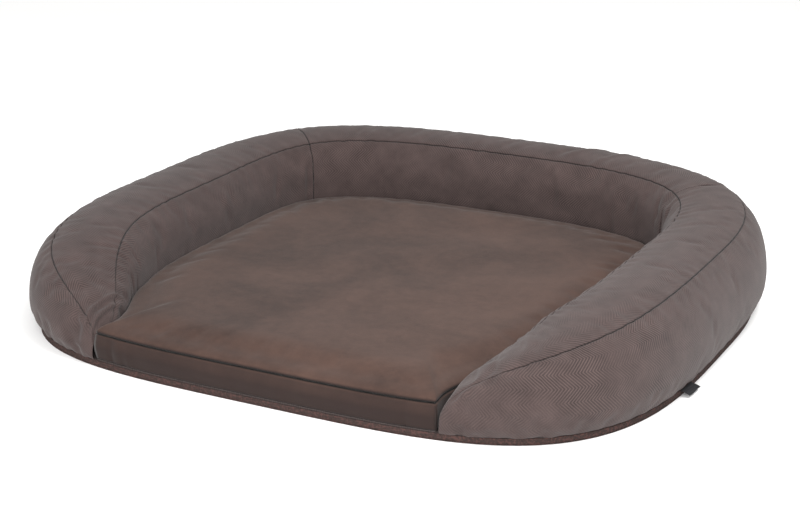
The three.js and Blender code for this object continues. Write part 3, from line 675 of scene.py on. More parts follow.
def new_material(title, roughness, ior=1.5, **surface):
    """A material with its Principled shader and tree; surface sets the shader's own sockets."""
    made = bpy.data.materials.new(title)
    made.use_nodes = True
    tree = made.node_tree
    shader = tree.nodes["Principled BSDF"]
    shader.inputs["Roughness"].default_value = roughness
    shader.inputs["IOR"].default_value = ior
    for socket, value in surface.items():
        shader.inputs[socket.replace("_", " ")].default_value = value
    return made, tree, shader


def paint_seam_shade(tree, colour, deep):
    """The colour, turned dark with a painted shade where the cloth dives into its seam."""
    inside = add(tree, "Attribute", attribute_name="seam").outputs["Fac"]
    return add(tree, "Mix", {0: inside, 6: colour, 7: linear(deep)}, data_type="RGBA").outputs[2]


# %% [markdown]
# ## Herringbone twill
# The bolster wears a brushed polyester twill. A twill's ribs run diagonally, and a herringbone
# turns them back at every band, so the cloth shows rows of chevrons along the bolster. Brushing
# lifts a nap that hides the ribs in places, and that is why the pattern comes and goes. The
# ribs are counted in the panel's own cloth coordinates, because a print on the object's X and Y
# would smear down its sides. Real ribs are about 1.5 mm apart. They are drawn more than twice as
# coarse, or they would be too fine to show. Solid polyester has an IOR near 1.6 and a gloss of its
# own, but a brushed cloth meets the light with loose fibre ends, so the IOR and the specular are
# taken lower, the roughness is near 1, and a little sheen stands for the nap.

# %% Twill
TWILL_RIB = 3.9 * MM
TWILL_BAND = 21 * MM
THREAD = 1.3 * MM
NAP_PATCH = 111 * MM
TWILL_CLOUD = 35.7 * MM


def make_twill():
    """The bolster's cloth: chevron ribs, a nap that hides some of them, and clouds."""
    made, tree, shader = new_material(
        "brushed_herringbone_twill", 0.93, 1.46, Sheen_Weight=0.08, Sheen_Roughness=0.55,
        Specular_IOR_Level=0.25,
    )
    cloth = add(tree, "UVMap", uv_map="weave").outputs[0]
    place = add(tree, "TexCoord").outputs["Object"]
    axes = add(tree, "SeparateXYZ", {0: cloth})
    chevron = add(tree, "Math", {0: axes.outputs["Y"], 1: TWILL_BAND}, operation="PINGPONG")
    slant = add(tree, "Math", {0: axes.outputs["X"], 1: chevron.outputs[0]}, operation="ADD")
    turns = 2 * math.pi / (TWILL_RIB * math.sqrt(2))
    phase = add(tree, "Math", {0: slant.outputs[0], 1: turns}, operation="MULTIPLY")
    rib = add(tree, "Math", {0: phase.outputs[0]}, operation="SINE")
    nap = add(tree, "TexNoise", {"Vector": place, "Scale": 1 / NAP_PATCH, "Detail": 3, "Roughness": 0.6})
    showing = add(tree, "MapRange", {0: nap.outputs[0], 1: 0.40, 2: 0.60, 3: 0.25, 4: 1.0})
    ribs = add(tree, "Math", {0: rib.outputs[0], 1: showing.outputs[0]}, operation="MULTIPLY")
    threads = add(tree, "TexNoise", {"Vector": cloth, "Scale": 1 / THREAD, "Detail": 2})
    clouds = add(tree, "TexNoise", {
        "Vector": place, "Scale": 1 / TWILL_CLOUD, "Detail": 5, "Roughness": 0.65,
    })
    tone = add(tree, "Math", {0: ribs.outputs[0], 1: 0.30, 2: 0.5}, operation="MULTIPLY_ADD")
    grain = add(tree, "Math", {
        0: threads.outputs[0], 1: 0.55, 2: tone.outputs[0],
    }, operation="MULTIPLY_ADD")
    cloudy = add(tree, "Math", {
        0: clouds.outputs[0], 1: 0.7, 2: grain.outputs[0],
    }, operation="MULTIPLY_ADD")
    shade = add(tree, "MapRange", {0: cloudy.outputs[0], 1: 0.72, 2: 1.52, 3: 0.0, 4: 1.0})
    colour = add(tree, "Mix", {
        0: shade.outputs[0], 6: linear("241c1b"), 7: linear("4a3d3b"),
    }, data_type="RGBA")
    # painted shade: the twill turns near black, 0a0707, where it rolls into a seam
    shaded = paint_seam_shade(tree, colour.outputs[2], "0a0707")
    tree.links.new(shaded, shader.inputs["Base Color"])
    height = add(tree, "Math", {
        0: ribs.outputs[0], 1: 0.5, 2: threads.outputs[0],
    }, operation="MULTIPLY_ADD")
    bump = add(tree, "Bump", {"Strength": 0.5, "Distance": 0.5 * MM, "Height": height.outputs[0]})
    tree.links.new(bump.outputs[0], shader.inputs["Normal"])
    return made


twill = make_twill()
print("twill: a chevron band every", TWILL_BAND / MM, "mm")

# %% [markdown]
# ## Nubuck
# The seat wears a brown nubuck, in practice a sueded polyester. Its surface is sanded to a short
# velvet that leans one way or another where a hand has brushed it, so it clouds over in broad
# patches of lighter and darker brown, with no pattern at all. Upright faces such as the boxing get
# a painted shade, darker the more they stand up. Like the twill it has
# loose fibre ends, so the IOR is a little under that of solid polyester. Its nap is shorter, which
# makes it a shade less rough. The velvet's grain is drawn at 1.1 mm, coarser than the real nap.

# %% Nubuck
BROAD_CLOUD = 182 * MM
BRUSH_MARK = 18.2 * MM
VELVET_GRAIN = 1.1 * MM


def make_nubuck():
    """The seat's cloth: broad clouds, brush marks and a velvet grain, with painted shade where upright.
    """
    made, tree, shader = new_material(
        "sueded_nubuck", 0.88, 1.46, Sheen_Weight=0.07, Sheen_Roughness=0.45,
        Specular_IOR_Level=0.25,
    )
    place = add(tree, "TexCoord").outputs["Object"]
    broad = add(tree, "TexNoise", {
        "Vector": place, "Scale": 1 / BROAD_CLOUD, "Detail": 4, "Roughness": 0.55, "Distortion": 0.6,
    })
    brushed = add(tree, "TexNoise", {
        "Vector": place, "Scale": 1 / BRUSH_MARK, "Detail": 5, "Roughness": 0.65,
    })
    velvet = add(tree, "TexNoise", {"Vector": place, "Scale": 1 / VELVET_GRAIN, "Detail": 2})
    marked = add(tree, "Math", {
        0: brushed.outputs[0], 1: 0.45, 2: broad.outputs[0],
    }, operation="MULTIPLY_ADD")
    grained = add(tree, "Math", {
        0: velvet.outputs[0], 1: 0.26, 2: marked.outputs[0],
    }, operation="MULTIPLY_ADD")
    shade = add(tree, "MapRange", {0: grained.outputs[0], 1: 0.63, 2: 1.08, 3: 0.0, 4: 1.0})
    colour = add(tree, "Mix", {
        0: shade.outputs[0], 6: linear("2e201b"), 7: linear("43312a"),
    }, data_type="RGBA")
    # painted shade: faces are mixed towards the dark 1e1412 as they stand upright
    facing = add(tree, "SeparateXYZ", {0: add(tree, "NewGeometry").outputs["Normal"]})
    upright = add(tree, "MapRange", {0: facing.outputs["Z"], 1: 0.0, 2: 0.8, 3: 0.9, 4: 0.0})
    upright_shaded = add(tree, "Mix", {
        0: upright.outputs[0], 6: colour.outputs[2], 7: linear("1e1412"),
    }, data_type="RGBA")
    # painted shade: the nubuck turns near black, 0a0706, where it rolls into a seam
    shaded = paint_seam_shade(tree, upright_shaded.outputs[2], "0a0706")
    tree.links.new(shaded, shader.inputs["Base Color"])
    height = add(tree, "Math", {
        0: brushed.outputs[0], 1: 1.5, 2: velvet.outputs[0],
    }, operation="MULTIPLY_ADD")
    bump = add(tree, "Bump", {"Strength": 0.35, "Distance": 0.5 * MM, "Height": height.outputs[0]})
    tree.links.new(bump.outputs[0], shader.inputs["Normal"])
    return made


nubuck = make_nubuck()
print("nubuck: clouds about", round(BROAD_CLOUD / MM), "mm across")

# %% [markdown]
# ## Felt, fill and foam
# The base is edged with a needled felt pressed from scraps of many colours, so it is speckled.
# Under the seat lies a spunbond lining, which is embossed with a grid of small points. Inside are
# carded polyester fibre, a firm polyurethane foam and a softer memory foam, whose cut faces show
# the open cells. The fibres, points and cells are all drawn coarser than the real ones.
# Plastics of this kind have an IOR near 1.5. None of them shines: loose fibres are the roughest,
# cut foam comes next, and the hot roller leaves the lining a little smoother.


# %% Felt and fill
def make_speckled(title, size, dark, pale, fleck):
    """Pale and dark fibres, with flecks of a third colour."""
    made, tree, shader = new_material(title, 0.95, 1.46, Specular_IOR_Level=0.2)
    place = add(tree, "TexCoord").outputs["Object"]
    fibres = add(tree, "TexNoise", {"Vector": place, "Scale": 1 / size, "Detail": 3, "Roughness": 0.7})
    flecks = add(tree, "TexNoise", {"Vector": place, "Scale": 0.45 / size, "Detail": 1})
    shade = add(tree, "MapRange", {0: fibres.outputs[0], 1: 0.38, 2: 0.62, 3: 0.0, 4: 1.0})
    colour = add(tree, "Mix", {0: shade.outputs[0], 6: linear(dark), 7: linear(pale)}, data_type="RGBA")
    chosen = add(tree, "MapRange", {0: flecks.outputs[0], 1: 0.52, 2: 0.60, 3: 0.0, 4: 0.75})
    flecked = add(tree, "Mix", {
        0: chosen.outputs[0], 6: colour.outputs[2], 7: linear(fleck),
    }, data_type="RGBA")
    tree.links.new(flecked.outputs[2], shader.inputs["Base Color"])
    bump = add(tree, "Bump", {"Strength": 0.6, "Distance": 0.6 * MM, "Height": fibres.outputs[0]})
    tree.links.new(bump.outputs[0], shader.inputs["Normal"])
    return made


felt = make_speckled("needled_felt", 1.7 * MM, "231b1a", "392d2a", "48322f")
fibre_fill = make_speckled("carded_polyester_fibre", 5 * MM, "d6d3cb", "f2f0ea", "e4e1da")
print("fibres:", felt.name, fibre_fill.name)


# %% Foams and lining
def make_cellular(title, size, deep, face):
    """Foam: open cells, with a painted shade in their hollows."""
    made, tree, shader = new_material(title, 0.9, 1.5, Specular_IOR_Level=0.3)
    place = add(tree, "TexCoord").outputs["Object"]
    cells = add(tree, "TexVoronoi", {"Vector": place, "Scale": 1 / size})
    # painted shade: the hollows of the cells take the darker colour
    shade = add(tree, "MapRange", {0: cells.outputs["Distance"], 1: 0.1, 2: 0.6, 3: 0.0, 4: 1.0})
    colour = add(tree, "Mix", {0: shade.outputs[0], 6: linear(deep), 7: linear(face)}, data_type="RGBA")
    tree.links.new(colour.outputs[2], shader.inputs["Base Color"])
    bump = add(tree, "Bump", {"Strength": 0.5, "Distance": 0.4 * MM, "Height": cells.outputs["Distance"]})
    tree.links.new(bump.outputs[0], shader.inputs["Normal"])
    return made


EMBOSSING = 4 * MM
SPUN_FIBRE = 2 * MM


def make_spunbond():
    """Lining: points on a square grid, pressed flat by a hot roller."""
    made, tree, shader = new_material("embossed_spunbond_lining", 0.8, 1.5, Specular_IOR_Level=0.3)
    place = add(tree, "TexCoord").outputs["Object"]
    axes = add(tree, "SeparateXYZ", {0: place})
    step = 2 * math.pi / EMBOSSING
    waves = []
    for axis in ("X", "Y"):
        phase = add(tree, "Math", {0: axes.outputs[axis], 1: step}, operation="MULTIPLY")
        waves.append(add(tree, "Math", {0: phase.outputs[0]}, operation="SINE").outputs[0])
    points = add(tree, "Math", {0: waves[0], 1: waves[1]}, operation="MULTIPLY")
    fibres = add(tree, "TexNoise", {"Vector": place, "Scale": 1 / SPUN_FIBRE, "Detail": 4})
    pressed = add(tree, "Math", {
        0: points.outputs[0], 1: 0.3, 2: fibres.outputs[0],
    }, operation="MULTIPLY_ADD")
    shade = add(tree, "MapRange", {0: pressed.outputs[0], 1: 0.2, 2: 0.8, 3: 0.0, 4: 1.0})
    colour = add(tree, "Mix", {
        0: shade.outputs[0], 6: linear("2f2827"), 7: linear("453c3a"),
    }, data_type="RGBA")
    tree.links.new(colour.outputs[2], shader.inputs["Base Color"])
    bump = add(tree, "Bump", {"Strength": 0.5, "Distance": 0.3 * MM, "Height": pressed.outputs[0]})
    tree.links.new(bump.outputs[0], shader.inputs["Normal"])
    return made


support_foam = make_cellular("cut_polyurethane_foam", 2.2 * MM, "b6a77b", "dbcf9f")
memory_foam = make_cellular("moulded_memory_foam", 1.4 * MM, "cdbb85", "ebdfb6")
spunbond = make_spunbond()
print("inside:", support_foam.name, memory_foam.name, spunbond.name)

# %% [markdown]
# ## Tape, zinc and nylon
# A zip joins three materials. Its tape is a tight polyester weave, smoother than the cover, with
# an IOR near 1.5. Its slider is cast zinc with a gunmetal plating. That is a metal, so it keeps the
# default IOR, and its roughness of about a third varies where fingers rub the plating bright. Its
# coil is nylon wire, which has an IOR of 1.53 and a soft gloss. The label is woven as tape is.


# %% Tape and label
def make_woven_tape(title, dark, pale, rib):
    """Narrow tape: fine upright ribs crossed by the weft."""
    made, tree, shader = new_material(title, 0.75, 1.5, Specular_IOR_Level=0.35)
    place = add(tree, "TexCoord").outputs["Object"]
    axes = add(tree, "SeparateXYZ", {0: place})
    waves = []
    for axis, size in (("X", rib), ("Z", 1.6 * rib)):
        phase = add(tree, "Math", {0: axes.outputs[axis], 1: 2 * math.pi / size}, operation="MULTIPLY")
        waves.append(add(tree, "Math", {0: phase.outputs[0]}, operation="SINE").outputs[0])
    both = add(tree, "Math", {0: waves[0], 1: waves[1]}, operation="ADD")
    shade = add(tree, "MapRange", {0: both.outputs[0], 1: -2.0, 2: 2.0, 3: 0.0, 4: 1.0})
    colour = add(tree, "Mix", {0: shade.outputs[0], 6: linear(dark), 7: linear(pale)}, data_type="RGBA")
    tree.links.new(colour.outputs[2], shader.inputs["Base Color"])
    bump = add(tree, "Bump", {"Strength": 0.5, "Distance": 0.2 * MM, "Height": both.outputs[0]})
    tree.links.new(bump.outputs[0], shader.inputs["Normal"])
    return made


zip_tape = make_woven_tape("woven_polyester_tape", "2c2423", "463a38", 1.0 * MM)
label_weave = make_woven_tape("damask_woven_label", "0d0d0f", "26262a", 0.8 * MM)
print("woven:", zip_tape.name, label_weave.name)

# %% Zinc and nylon
RUBBED_SPOT = 3.85 * MM
SCUFF = 2.38 * MM


def make_zinc():
    """Die-cast zinc with a gunmetal plating, rubbed brighter where fingers take it."""
    made, tree, shader = new_material("plated_zinc_alloy", 0.32, Metallic=1.0)
    place = add(tree, "TexCoord").outputs["Object"]
    rubbed = add(tree, "TexNoise", {"Vector": place, "Scale": 1 / RUBBED_SPOT, "Detail": 4})
    shade = add(tree, "MapRange", {0: rubbed.outputs[0], 1: 0.45, 2: 0.7, 3: 0.0, 4: 1.0})
    colour = add(tree, "Mix", {
        0: shade.outputs[0], 6: linear("4f4a47"), 7: linear("8d8783"),
    }, data_type="RGBA")
    tree.links.new(colour.outputs[2], shader.inputs["Base Color"])
    rough = add(tree, "MapRange", {0: rubbed.outputs[0], 1: 0.3, 2: 0.7, 3: 0.24, 4: 0.45})
    tree.links.new(rough.outputs[0], shader.inputs["Roughness"])
    return made


def make_nylon():
    """Nylon monofilament, wound to a coil and heat-set, with a soft gloss."""
    made, tree, shader = new_material("nylon_monofilament", 0.38, 1.53)
    place = add(tree, "TexCoord").outputs["Object"]
    scuffs = add(tree, "TexNoise", {"Vector": place, "Scale": 1 / SCUFF, "Detail": 3})
    shade = add(tree, "MapRange", {0: scuffs.outputs[0], 1: 0.4, 2: 0.7, 3: 0.0, 4: 1.0})
    colour = add(tree, "Mix", {
        0: shade.outputs[0], 6: linear("2a2322"), 7: linear("4a403d"),
    }, data_type="RGBA")
    tree.links.new(colour.outputs[2], shader.inputs["Base Color"])
    return made


zinc = make_zinc()
nylon = make_nylon()
print("hard:", zinc.name, nylon.name)

# %% [markdown]
# ## The bolster's cover
# Nine panels make the cover: an outer, a top and an inner one for each arm and for the back. The
# outer back panel has the window of the zip through which the fibre is filled in. Rows of points
# stand closer together at the noses and beside the cross seams, where the cloth bends most.


# %% What every piece wears
PIECE_COUNT = {"made": 0}


def wear(piece, material, body, node):
    """Gives a piece its material and its body, and hides the solid that it stands for."""
    piece.data.materials.clear()
    piece.data.materials.append(material)
    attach(piece, body)
    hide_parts(node)
    PIECE_COUNT["made"] += 1
    return piece


# %% Rows of the panels
CROSS_GAP = 0.4 * MM
END_ROWS = np.array([0, 0.4, 0.9, 1.6, 2.8, 4.5]) * MM
arm_length = CORNER_STATION - CROSS_GAP - NOSE_START
NOSE_CROWDING = 1.35


def crowded(low, high, step, crowding=1.0):
    """Stations from low to high, closer together at low."""
    count = int((high - low) / step)
    return mixed(low, high, np.linspace(0, 1, count + 1) ** crowding)


def with_end_rows(stations):
    """Adds close rows at the last station, where the panel rolls into its cross seam."""
    kept = stations[stations < stations[-1] - END_ROWS[-1] - 2 * MM]
    return np.concatenate([kept, stations[-1] - END_ROWS[::-1]])


right_stations = with_end_rows(crowded(NOSE_START, NOSE_START + arm_length, FINE_STEP, NOSE_CROWDING))
left_stations = RAIL_LENGTH - right_stations[::-1]
half_back = with_end_rows(crowded(RAIL_HALF, RAIL_LENGTH - CORNER_STATION - CROSS_GAP, FINE_STEP))
BACK_WINDOW_HALF = 157 * MM
WINDOW_HALF_HEIGHT = 6.75 * MM
half_back = np.sort(np.append(half_back, RAIL_HALF + BACK_WINDOW_HALF))
back_stations = np.concatenate([RAIL_LENGTH - half_back[:0:-1], half_back])
print("rows:", len(right_stations), "on an arm,", len(back_stations), "on the back")

# %% Panels
# the wraps of each level's two seams, and the columns between them
LEVELS = {
    "outer": ((0, OUTER_SEAM_WRAP), 30),
    "top": ((OUTER_SEAM_WRAP, INNER_SEAM_WRAP), 16),
    "inner": ((INNER_SEAM_WRAP, 4), 30),
}
# the stations of each side's rows, and which of its ends roll down into a cross seam
SIDES = {
    "right": (right_stations, (False, True)),
    "back": (back_stations, (True, True)),
    "left": (left_stations, (True, False)),
}
waist_height = section(np.array([RAIL_HALF]))["waist"][0]
below = 1 - WINDOW_HALF_HEIGHT / (waist_height - BOLSTER_FOOT)
above = 1 + (2 / math.pi) * math.atan2(WINDOW_HALF_HEIGHT, BACK_HEIGHT - waist_height)
zip_window = ((RAIL_HALF - BACK_WINDOW_HALF, RAIL_HALF + BACK_WINDOW_HALF), (below, above))
for side, (stations, ends) in SIDES.items():
    for level, (wraps, columns) in LEVELS.items():
        name = f"{side}_{level}_panel"
        opening = zip_window if (side, level) == ("back", "outer") else None
        panel = sewn_panel(
            name + "_cloth", bolster_cover, stations, wraps, columns, BOLSTER_FOOT, ends, opening,
        )
        wear(panel, twill, "bolster_and_base", name)
print("bolster cover:", PIECE_COUNT["made"], "panels")

# %% [markdown]
# ## The bolster's filling
# Loose polyester fibre is blown into three cells. Nobody sees it on the finished bed, but it is a
# piece of its own: a lumpy body that stops just under the cover.

# %% Closed tubes
def closed_tube(name, rings):
    """A closed mesh through rings of points, with a fan of faces on each end."""
    rows, columns = rings.shape[:2]
    quads = grid_faces(rows, columns + 1)
    index = (quads // (columns + 1)) * columns + (quads % (columns + 1)) % columns
    ends = rings[[0, -1]].mean(axis=1)
    points = np.concatenate([rings.reshape(-1, 3), ends])
    j = np.arange(columns)
    after = (j + 1) % columns
    first, last = rows * columns, rows * columns + 1
    top = (rows - 1) * columns
    caps = [(first, a, b) for a, b in zip(j, after)]
    caps += [(last, top + b, top + a) for a, b in zip(j, after)]
    faces = index.tolist() + [[int(v) for v in cap] for cap in caps]
    return face_out(mesh_object(name, points, faces))


# %% Filling
FILL_DEPTH = 10 * MM
FILL_START = 62 * MM
FILL_STEP = 13 * MM
LUMP_HEIGHT = 1.5 * MM
LUMP_LENGTH = 60 * MM
LUMP_SEED = 5
fill_wraps = np.linspace(0.02, 3.98, 46)
for side, (stations, _) in SIDES.items():
    low = max(stations[0], FILL_START)
    high = min(stations[-1], RAIL_LENGTH - FILL_START)
    spaced = np.linspace(low + 2 * MM, high - 2 * MM, int((high - low) / FILL_STEP))
    cover = bolster_cover(spaced, fill_wraps[None, :])
    size = np.minimum(1, section(spaced)["width"] / (5 * FILL_DEPTH))[:, None]
    wave = LUMP_HEIGHT * ripple(spaced, LUMP_SEED, LUMP_LENGTH)[:, None]
    depth = (FILL_DEPTH + wave * np.sin(9 * fill_wraps)[None, :]) * size
    normal = cover_normals(bolster_cover, spaced, fill_wraps[None, :], NORMAL_STEP)
    rings = cover - normal * depth[..., None]
    rings[..., 2] = np.maximum(rings[..., 2], BOLSTER_FOOT + 1 * MM)
    fill = closed_tube(f"{side}_bolster_filling", rings)
    wear(fill, fibre_fill, "bolster_and_base", f"{side}_bolster_fill")
print("filling: 3 bodies of fibre")

# %% [markdown]
# ## The seat cushion
# A boxed cushion is a top and a bottom panel joined by a strip round the edge, the boxing. Its
# outline follows the inside of the bolster. The top is crowned by the foam inside, and the strip
# swells a little between its two seams. The top is blown up by the cloth solver as well, so it
# is not a perfect dome.

# %% Outline of the seat
SEAT_SIDE_GAP = 3 * MM
SEAT_BACK_GAP = 7 * MM
SEAT_FRONT_INSET = 2 * MM
SEAT_SEAM_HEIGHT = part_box("seat_front_boxing")[1].z
SEAT_CROWN_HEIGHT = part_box("seat_top_panel")[1].z
SEAT_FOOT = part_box("seat_bottom_panel")[0].z
SEAT_CROWN_RUN = 80 * MM
FRONT_POINTS = 121
SIDE_POINTS = 1201


def bulge_edge(station):
    """The flat line of the bolster's inner bulge, which the cushion stands clear of."""
    part = section(station)
    return rail_point(station) + rail_inward(station) * (part["width"] + part["inner"])[:, None]


def seat_edge(station):
    """The seat's outline beside the bolster, a gap inward of the bulge's edge."""
    step = np.minimum(TANGENT_STEP, np.minimum(station, RAIL_LENGTH - station) / 2)
    inward = turned(bulge_edge(station - step), bulge_edge(station + step))
    gap = mixed(SEAT_SIDE_GAP, SEAT_BACK_GAP, section(station)["backness"])
    return bulge_edge(station) + inward * gap[:, None]


corner_x = FRONT_OPENING / 2 - SEAT_SIDE_GAP
front_x = np.linspace(-corner_x, corner_x, FRONT_POINTS)
sideways = np.abs(front_x / FOOT_HALF_WIDTH) ** FRONT_SQUARENESS
front_y = -FRONT_TO_WIDEST * (1 - sideways) ** (1 / FRONT_SQUARENESS)
front_line = np.stack([front_x, front_y + FORWARD_SHIFT + SEAT_FRONT_INSET], -1)
rail_stations = np.linspace(NOSE_START, RAIL_LENGTH - NOSE_START, SIDE_POINTS)
side_line = seat_edge(rail_stations)
seat_line = np.concatenate([front_line, side_line, front_line[:1]])
seat_walked = np.concatenate([[0], np.cumsum(np.linalg.norm(np.diff(seat_line, axis=0), axis=1))])
SEAT_ROUND = seat_walked[-1]
FRONT_ROUND = seat_walked[FRONT_POINTS - 1]
seat_centre = (seat_line.min(0) + seat_line.max(0)) / 2
seat_half_size = (seat_line[:, 0].max() - seat_line[:, 0].min()) / 2


def seat_point(around, inset=0.0):
    """The outline's point at a distance round it, drawn in towards the middle of the seat."""
    around = np.mod(around, SEAT_ROUND)
    flat = np.stack([np.interp(around, seat_walked, seat_line[:, k]) for k in (0, 1)], -1)
    return seat_centre + (flat - seat_centre) * (1 - np.asarray(inset)[..., None] / seat_half_size)


print("seat outline", round(SEAT_ROUND, 3), "m round, front", round(FRONT_ROUND, 3), "m")

# %% [markdown]
# ## The cushion's top
# The top rises from its rim like a shallow dome with a quick shoulder, because the foam pushes the
# cloth up close to the seam. The cloth solver blows up a coarse copy of it, and two slow waves make
# the hollows where a pet has lain. The gathers of the rim are a formula again.

# %% The dome at rest
SEAT_CLOTH = 1.8 * MM
SEAT_ROLL = 2.4 * MM
SEAT_CAP = 5 * MM
SEAT_SLACK = 0.003
# the dome leaves its rim almost upright, so it starts a little below the boxing's seam
top_rim = SEAT_SEAM_HEIGHT - 0.2 * MM


def crown(inset):
    """How far the top stands above its seam at a distance in from the edge."""
    share = np.clip(inset / SEAT_CROWN_RUN, 0, 1)
    return (SEAT_CROWN_HEIGHT - top_rim) * np.sqrt(1 - (1 - share) ** 2.0)


around_count = 720
around = np.linspace(0, SEAT_ROUND, around_count, endpoint=False)
coarse_around = np.linspace(0, SEAT_ROUND, 240, endpoint=False)
coarse_insets = seat_half_size * np.linspace(0, 0.96, 26) ** 1.5


def seat_dome(places, insets):
    """The top before it settles, at places round the outline and insets from it."""
    flat = seat_point(places[:, None], np.broadcast_to(insets, (len(places), len(insets))))
    height = np.broadcast_to(top_rim + crown(insets), flat.shape[:2])
    return np.concatenate([flat, height[..., None]], -1)


# %% The dome settles
dome_rest = seat_dome(coarse_around, coarse_insets)
rim_held = np.broadcast_to(near(coarse_insets, (0,), 2 * MM)[None, :], dome_rest.shape[:2])
dome_slack = np.full(dome_rest.shape[:2], SEAT_SLACK)
dome_moved = settled("seat_cloth", dome_rest, rim_held, dome_slack, SEAT_CAP, 2, loop=True)
# the middle keeps its height, and the movement fades out at the rim and at the very centre
dome_moved[..., 2] -= dome_moved[:, -6:, 2].mean()
dome_moved *= np.clip(coarse_insets / (30 * MM), 0, 1)[None, :, None]
dome_moved *= np.clip((0.93 - coarse_insets / seat_half_size) / 0.2, 0, 1)[None, :, None]
dome_moved[..., :2] *= 0.2


RIM_GATHER_HEIGHT = 0.5 * MM
RIM_GATHER_LENGTH = 45 * MM
RIM_GATHER_REACH = 16 * MM
HOLLOW_DEPTH = 0.7 * MM
HOLLOW_WIDTH = 310 * MM
HOLLOW_LENGTH = 270 * MM
RIM_GATHER_SEED = 71
HOLLOW_SEEDS = (72, 73)


def seat_top(places, insets):
    """The settled dome, with the soft gathers that its seam pulls in."""
    rest = seat_dome(places, insets)
    wrapped = np.concatenate([dome_moved, dome_moved[:1]])
    rows = sampled(wrapped, places, np.append(coarse_around, SEAT_ROUND), 0)
    moved = sampled(rows, insets, coarse_insets, 1)
    wave = ripple(places, RIM_GATHER_SEED, RIM_GATHER_LENGTH)[:, None]
    pulled = np.exp(-insets / RIM_GATHER_REACH)[None, :] * wave
    rest[..., 2] += RIM_GATHER_HEIGHT * pulled * np.clip(insets / (5 * MM), 0, 1)[None, :]
    over_width = ripple(rest[..., 0], HOLLOW_SEEDS[0], HOLLOW_WIDTH)
    swell = over_width * ripple(rest[..., 1], HOLLOW_SEEDS[1], HOLLOW_LENGTH)
    rest[..., 2] += HOLLOW_DEPTH * swell * np.clip(insets / (60 * MM), 0, 1)[None, :]
    return rest + moved


# %% A closed dome
def dome_shell(name, cover, path_outer, path_inner, insets_end, columns, thickness):
    """A closed dome: an outer and an inner face that meet at the rolled rim and close in the
    middle."""
    layers = []
    depths_at = []
    for face, path in enumerate((path_outer, path_inner)):
        reach = path[-1][0]
        grown = reach + (insets_end - reach) * np.linspace(0, 1, columns + 1)[1:] ** 1.4
        insets = np.concatenate([[p[0] for p in path], grown])
        depths = np.concatenate([[p[1] for p in path], np.full(columns, thickness * face)])
        surface = cover(around, insets)
        normal = cover_normals(cover, around, insets, 0.02 * MM)
        normal *= np.sign(normal[..., 2:3].mean())
        layers.append(surface - normal * depths[None, :, None])
        depths_at.append(depths - thickness * face)
    count = layers[0].shape[0] * layers[0].shape[1]
    quads = grid_faces(around_count, layers[0].shape[1], loop=True)
    i = np.arange(around_count)
    after = (i + 1) % around_count
    width = layers[0].shape[1]
    rim = np.stack([i * width, after * width, after * width + count, i * width + count], -1)
    centres = [layer[:, -1].mean(axis=0) for layer in layers]
    points = np.concatenate([layers[0].reshape(-1, 3), layers[1].reshape(-1, 3), centres])
    faces = np.concatenate([quads, quads[:, ::-1] + count, rim[:, ::-1]]).tolist()
    for layer, offset in ((0, 0), (1, count)):
        for a, b in zip(i, after):
            ends = [offset + a * width + width - 1, offset + b * width + width - 1]
            faces.append([2 * count + layer, *(ends[::-1] if layer else ends)])
    made = mesh_object(name, points, [[int(v) for v in face] for face in faces])
    every_depth = np.concatenate([np.tile(layer, around_count) for layer in depths_at] + [[0, 0]])
    shade_seams(made.data, every_depth, SEAT_ROLL)
    return face_out(made)


# %% Top panel
top_outer, top_inner = edge_path(SEAT_ROLL, SEAT_CLOTH)
top_panel = dome_shell(
    "seat_top_panel_cloth", seat_top, top_outer, top_inner, seat_half_size * 0.97, 60, SEAT_CLOTH,
)
wear(top_panel, nubuck, "seat_cushion", "seat_top_panel")
print("seat top:", len(top_panel.data.polygons), "faces")

# %% [markdown]
# ## The boxing
# The strip between the top and the bottom is sewn from four lengths, front, right, back and left,
# whose joins sit at the corners. The front strip swells a little and has a few tucks beside the
# noses. The others stay nearly flat, because they have only a few millimetres to the bolster.

# %% Strips of the boxing
BOXING_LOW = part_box("seat_front_boxing")[0].z
BOXING_SWELL = 3.0 * MM
BOXING_WAVE = 0.7 * MM
BOXING_WAVE_LENGTH = 52 * MM
HIDDEN_SHARE = 0.25
TUCK_WIDTH = 4 * MM
SEAT_WINDOW_MARGIN = 7 * MM
STRIP_GAP = 0.3 * MM
rail_to_round = seat_walked[FRONT_POINTS:-1]
right_corner = float(np.interp(CORNER_STATION, rail_stations, rail_to_round))
left_corner = float(np.interp(RAIL_LENGTH - CORNER_STATION, rail_stations, rail_to_round))
STRIPS = {
    "front": (0.0, FRONT_ROUND),
    "right": (FRONT_ROUND, right_corner),
    "back": (right_corner, left_corner),
    "left": (left_corner, SEAT_ROUND),
}
# place along the front strip, and depth
TUCKS = ((0.035, 3.0 * MM), (0.060, 2.2 * MM), (FRONT_ROUND - 0.05, 2.2 * MM))
BOXING_WAVE_SEED = 81


def boxing_cover(places, heights):
    """The boxing at places round the outline and shares of its height."""
    share = np.broadcast_to(heights, (len(places), np.shape(heights)[-1]))
    flat = np.broadcast_to(seat_point(places)[:, None], (*share.shape, 2))
    step = 2 * MM
    outward = -turned(seat_point(places - step), seat_point(places + step))[:, None]
    arch = np.sin(math.pi * share.clip(0, 1))
    swell = BOXING_SWELL * arch**1.5
    front = (places < FRONT_ROUND)[:, None]
    for at, deep in TUCKS:
        swell = swell - front * deep * near(places, (at,), TUCK_WIDTH)[:, None] * (1 - 0.55 * share)
    wave = ripple(places, BOXING_WAVE_SEED, BOXING_WAVE_LENGTH)[:, None]
    swell = swell + BOXING_WAVE * wave * arch
    quiet = np.where(front, 1.0, HIDDEN_SHARE)
    height = mixed(BOXING_LOW, SEAT_SEAM_HEIGHT, share)
    return np.concatenate([flat + outward * (swell * quiet)[..., None], height[..., None]], -1)


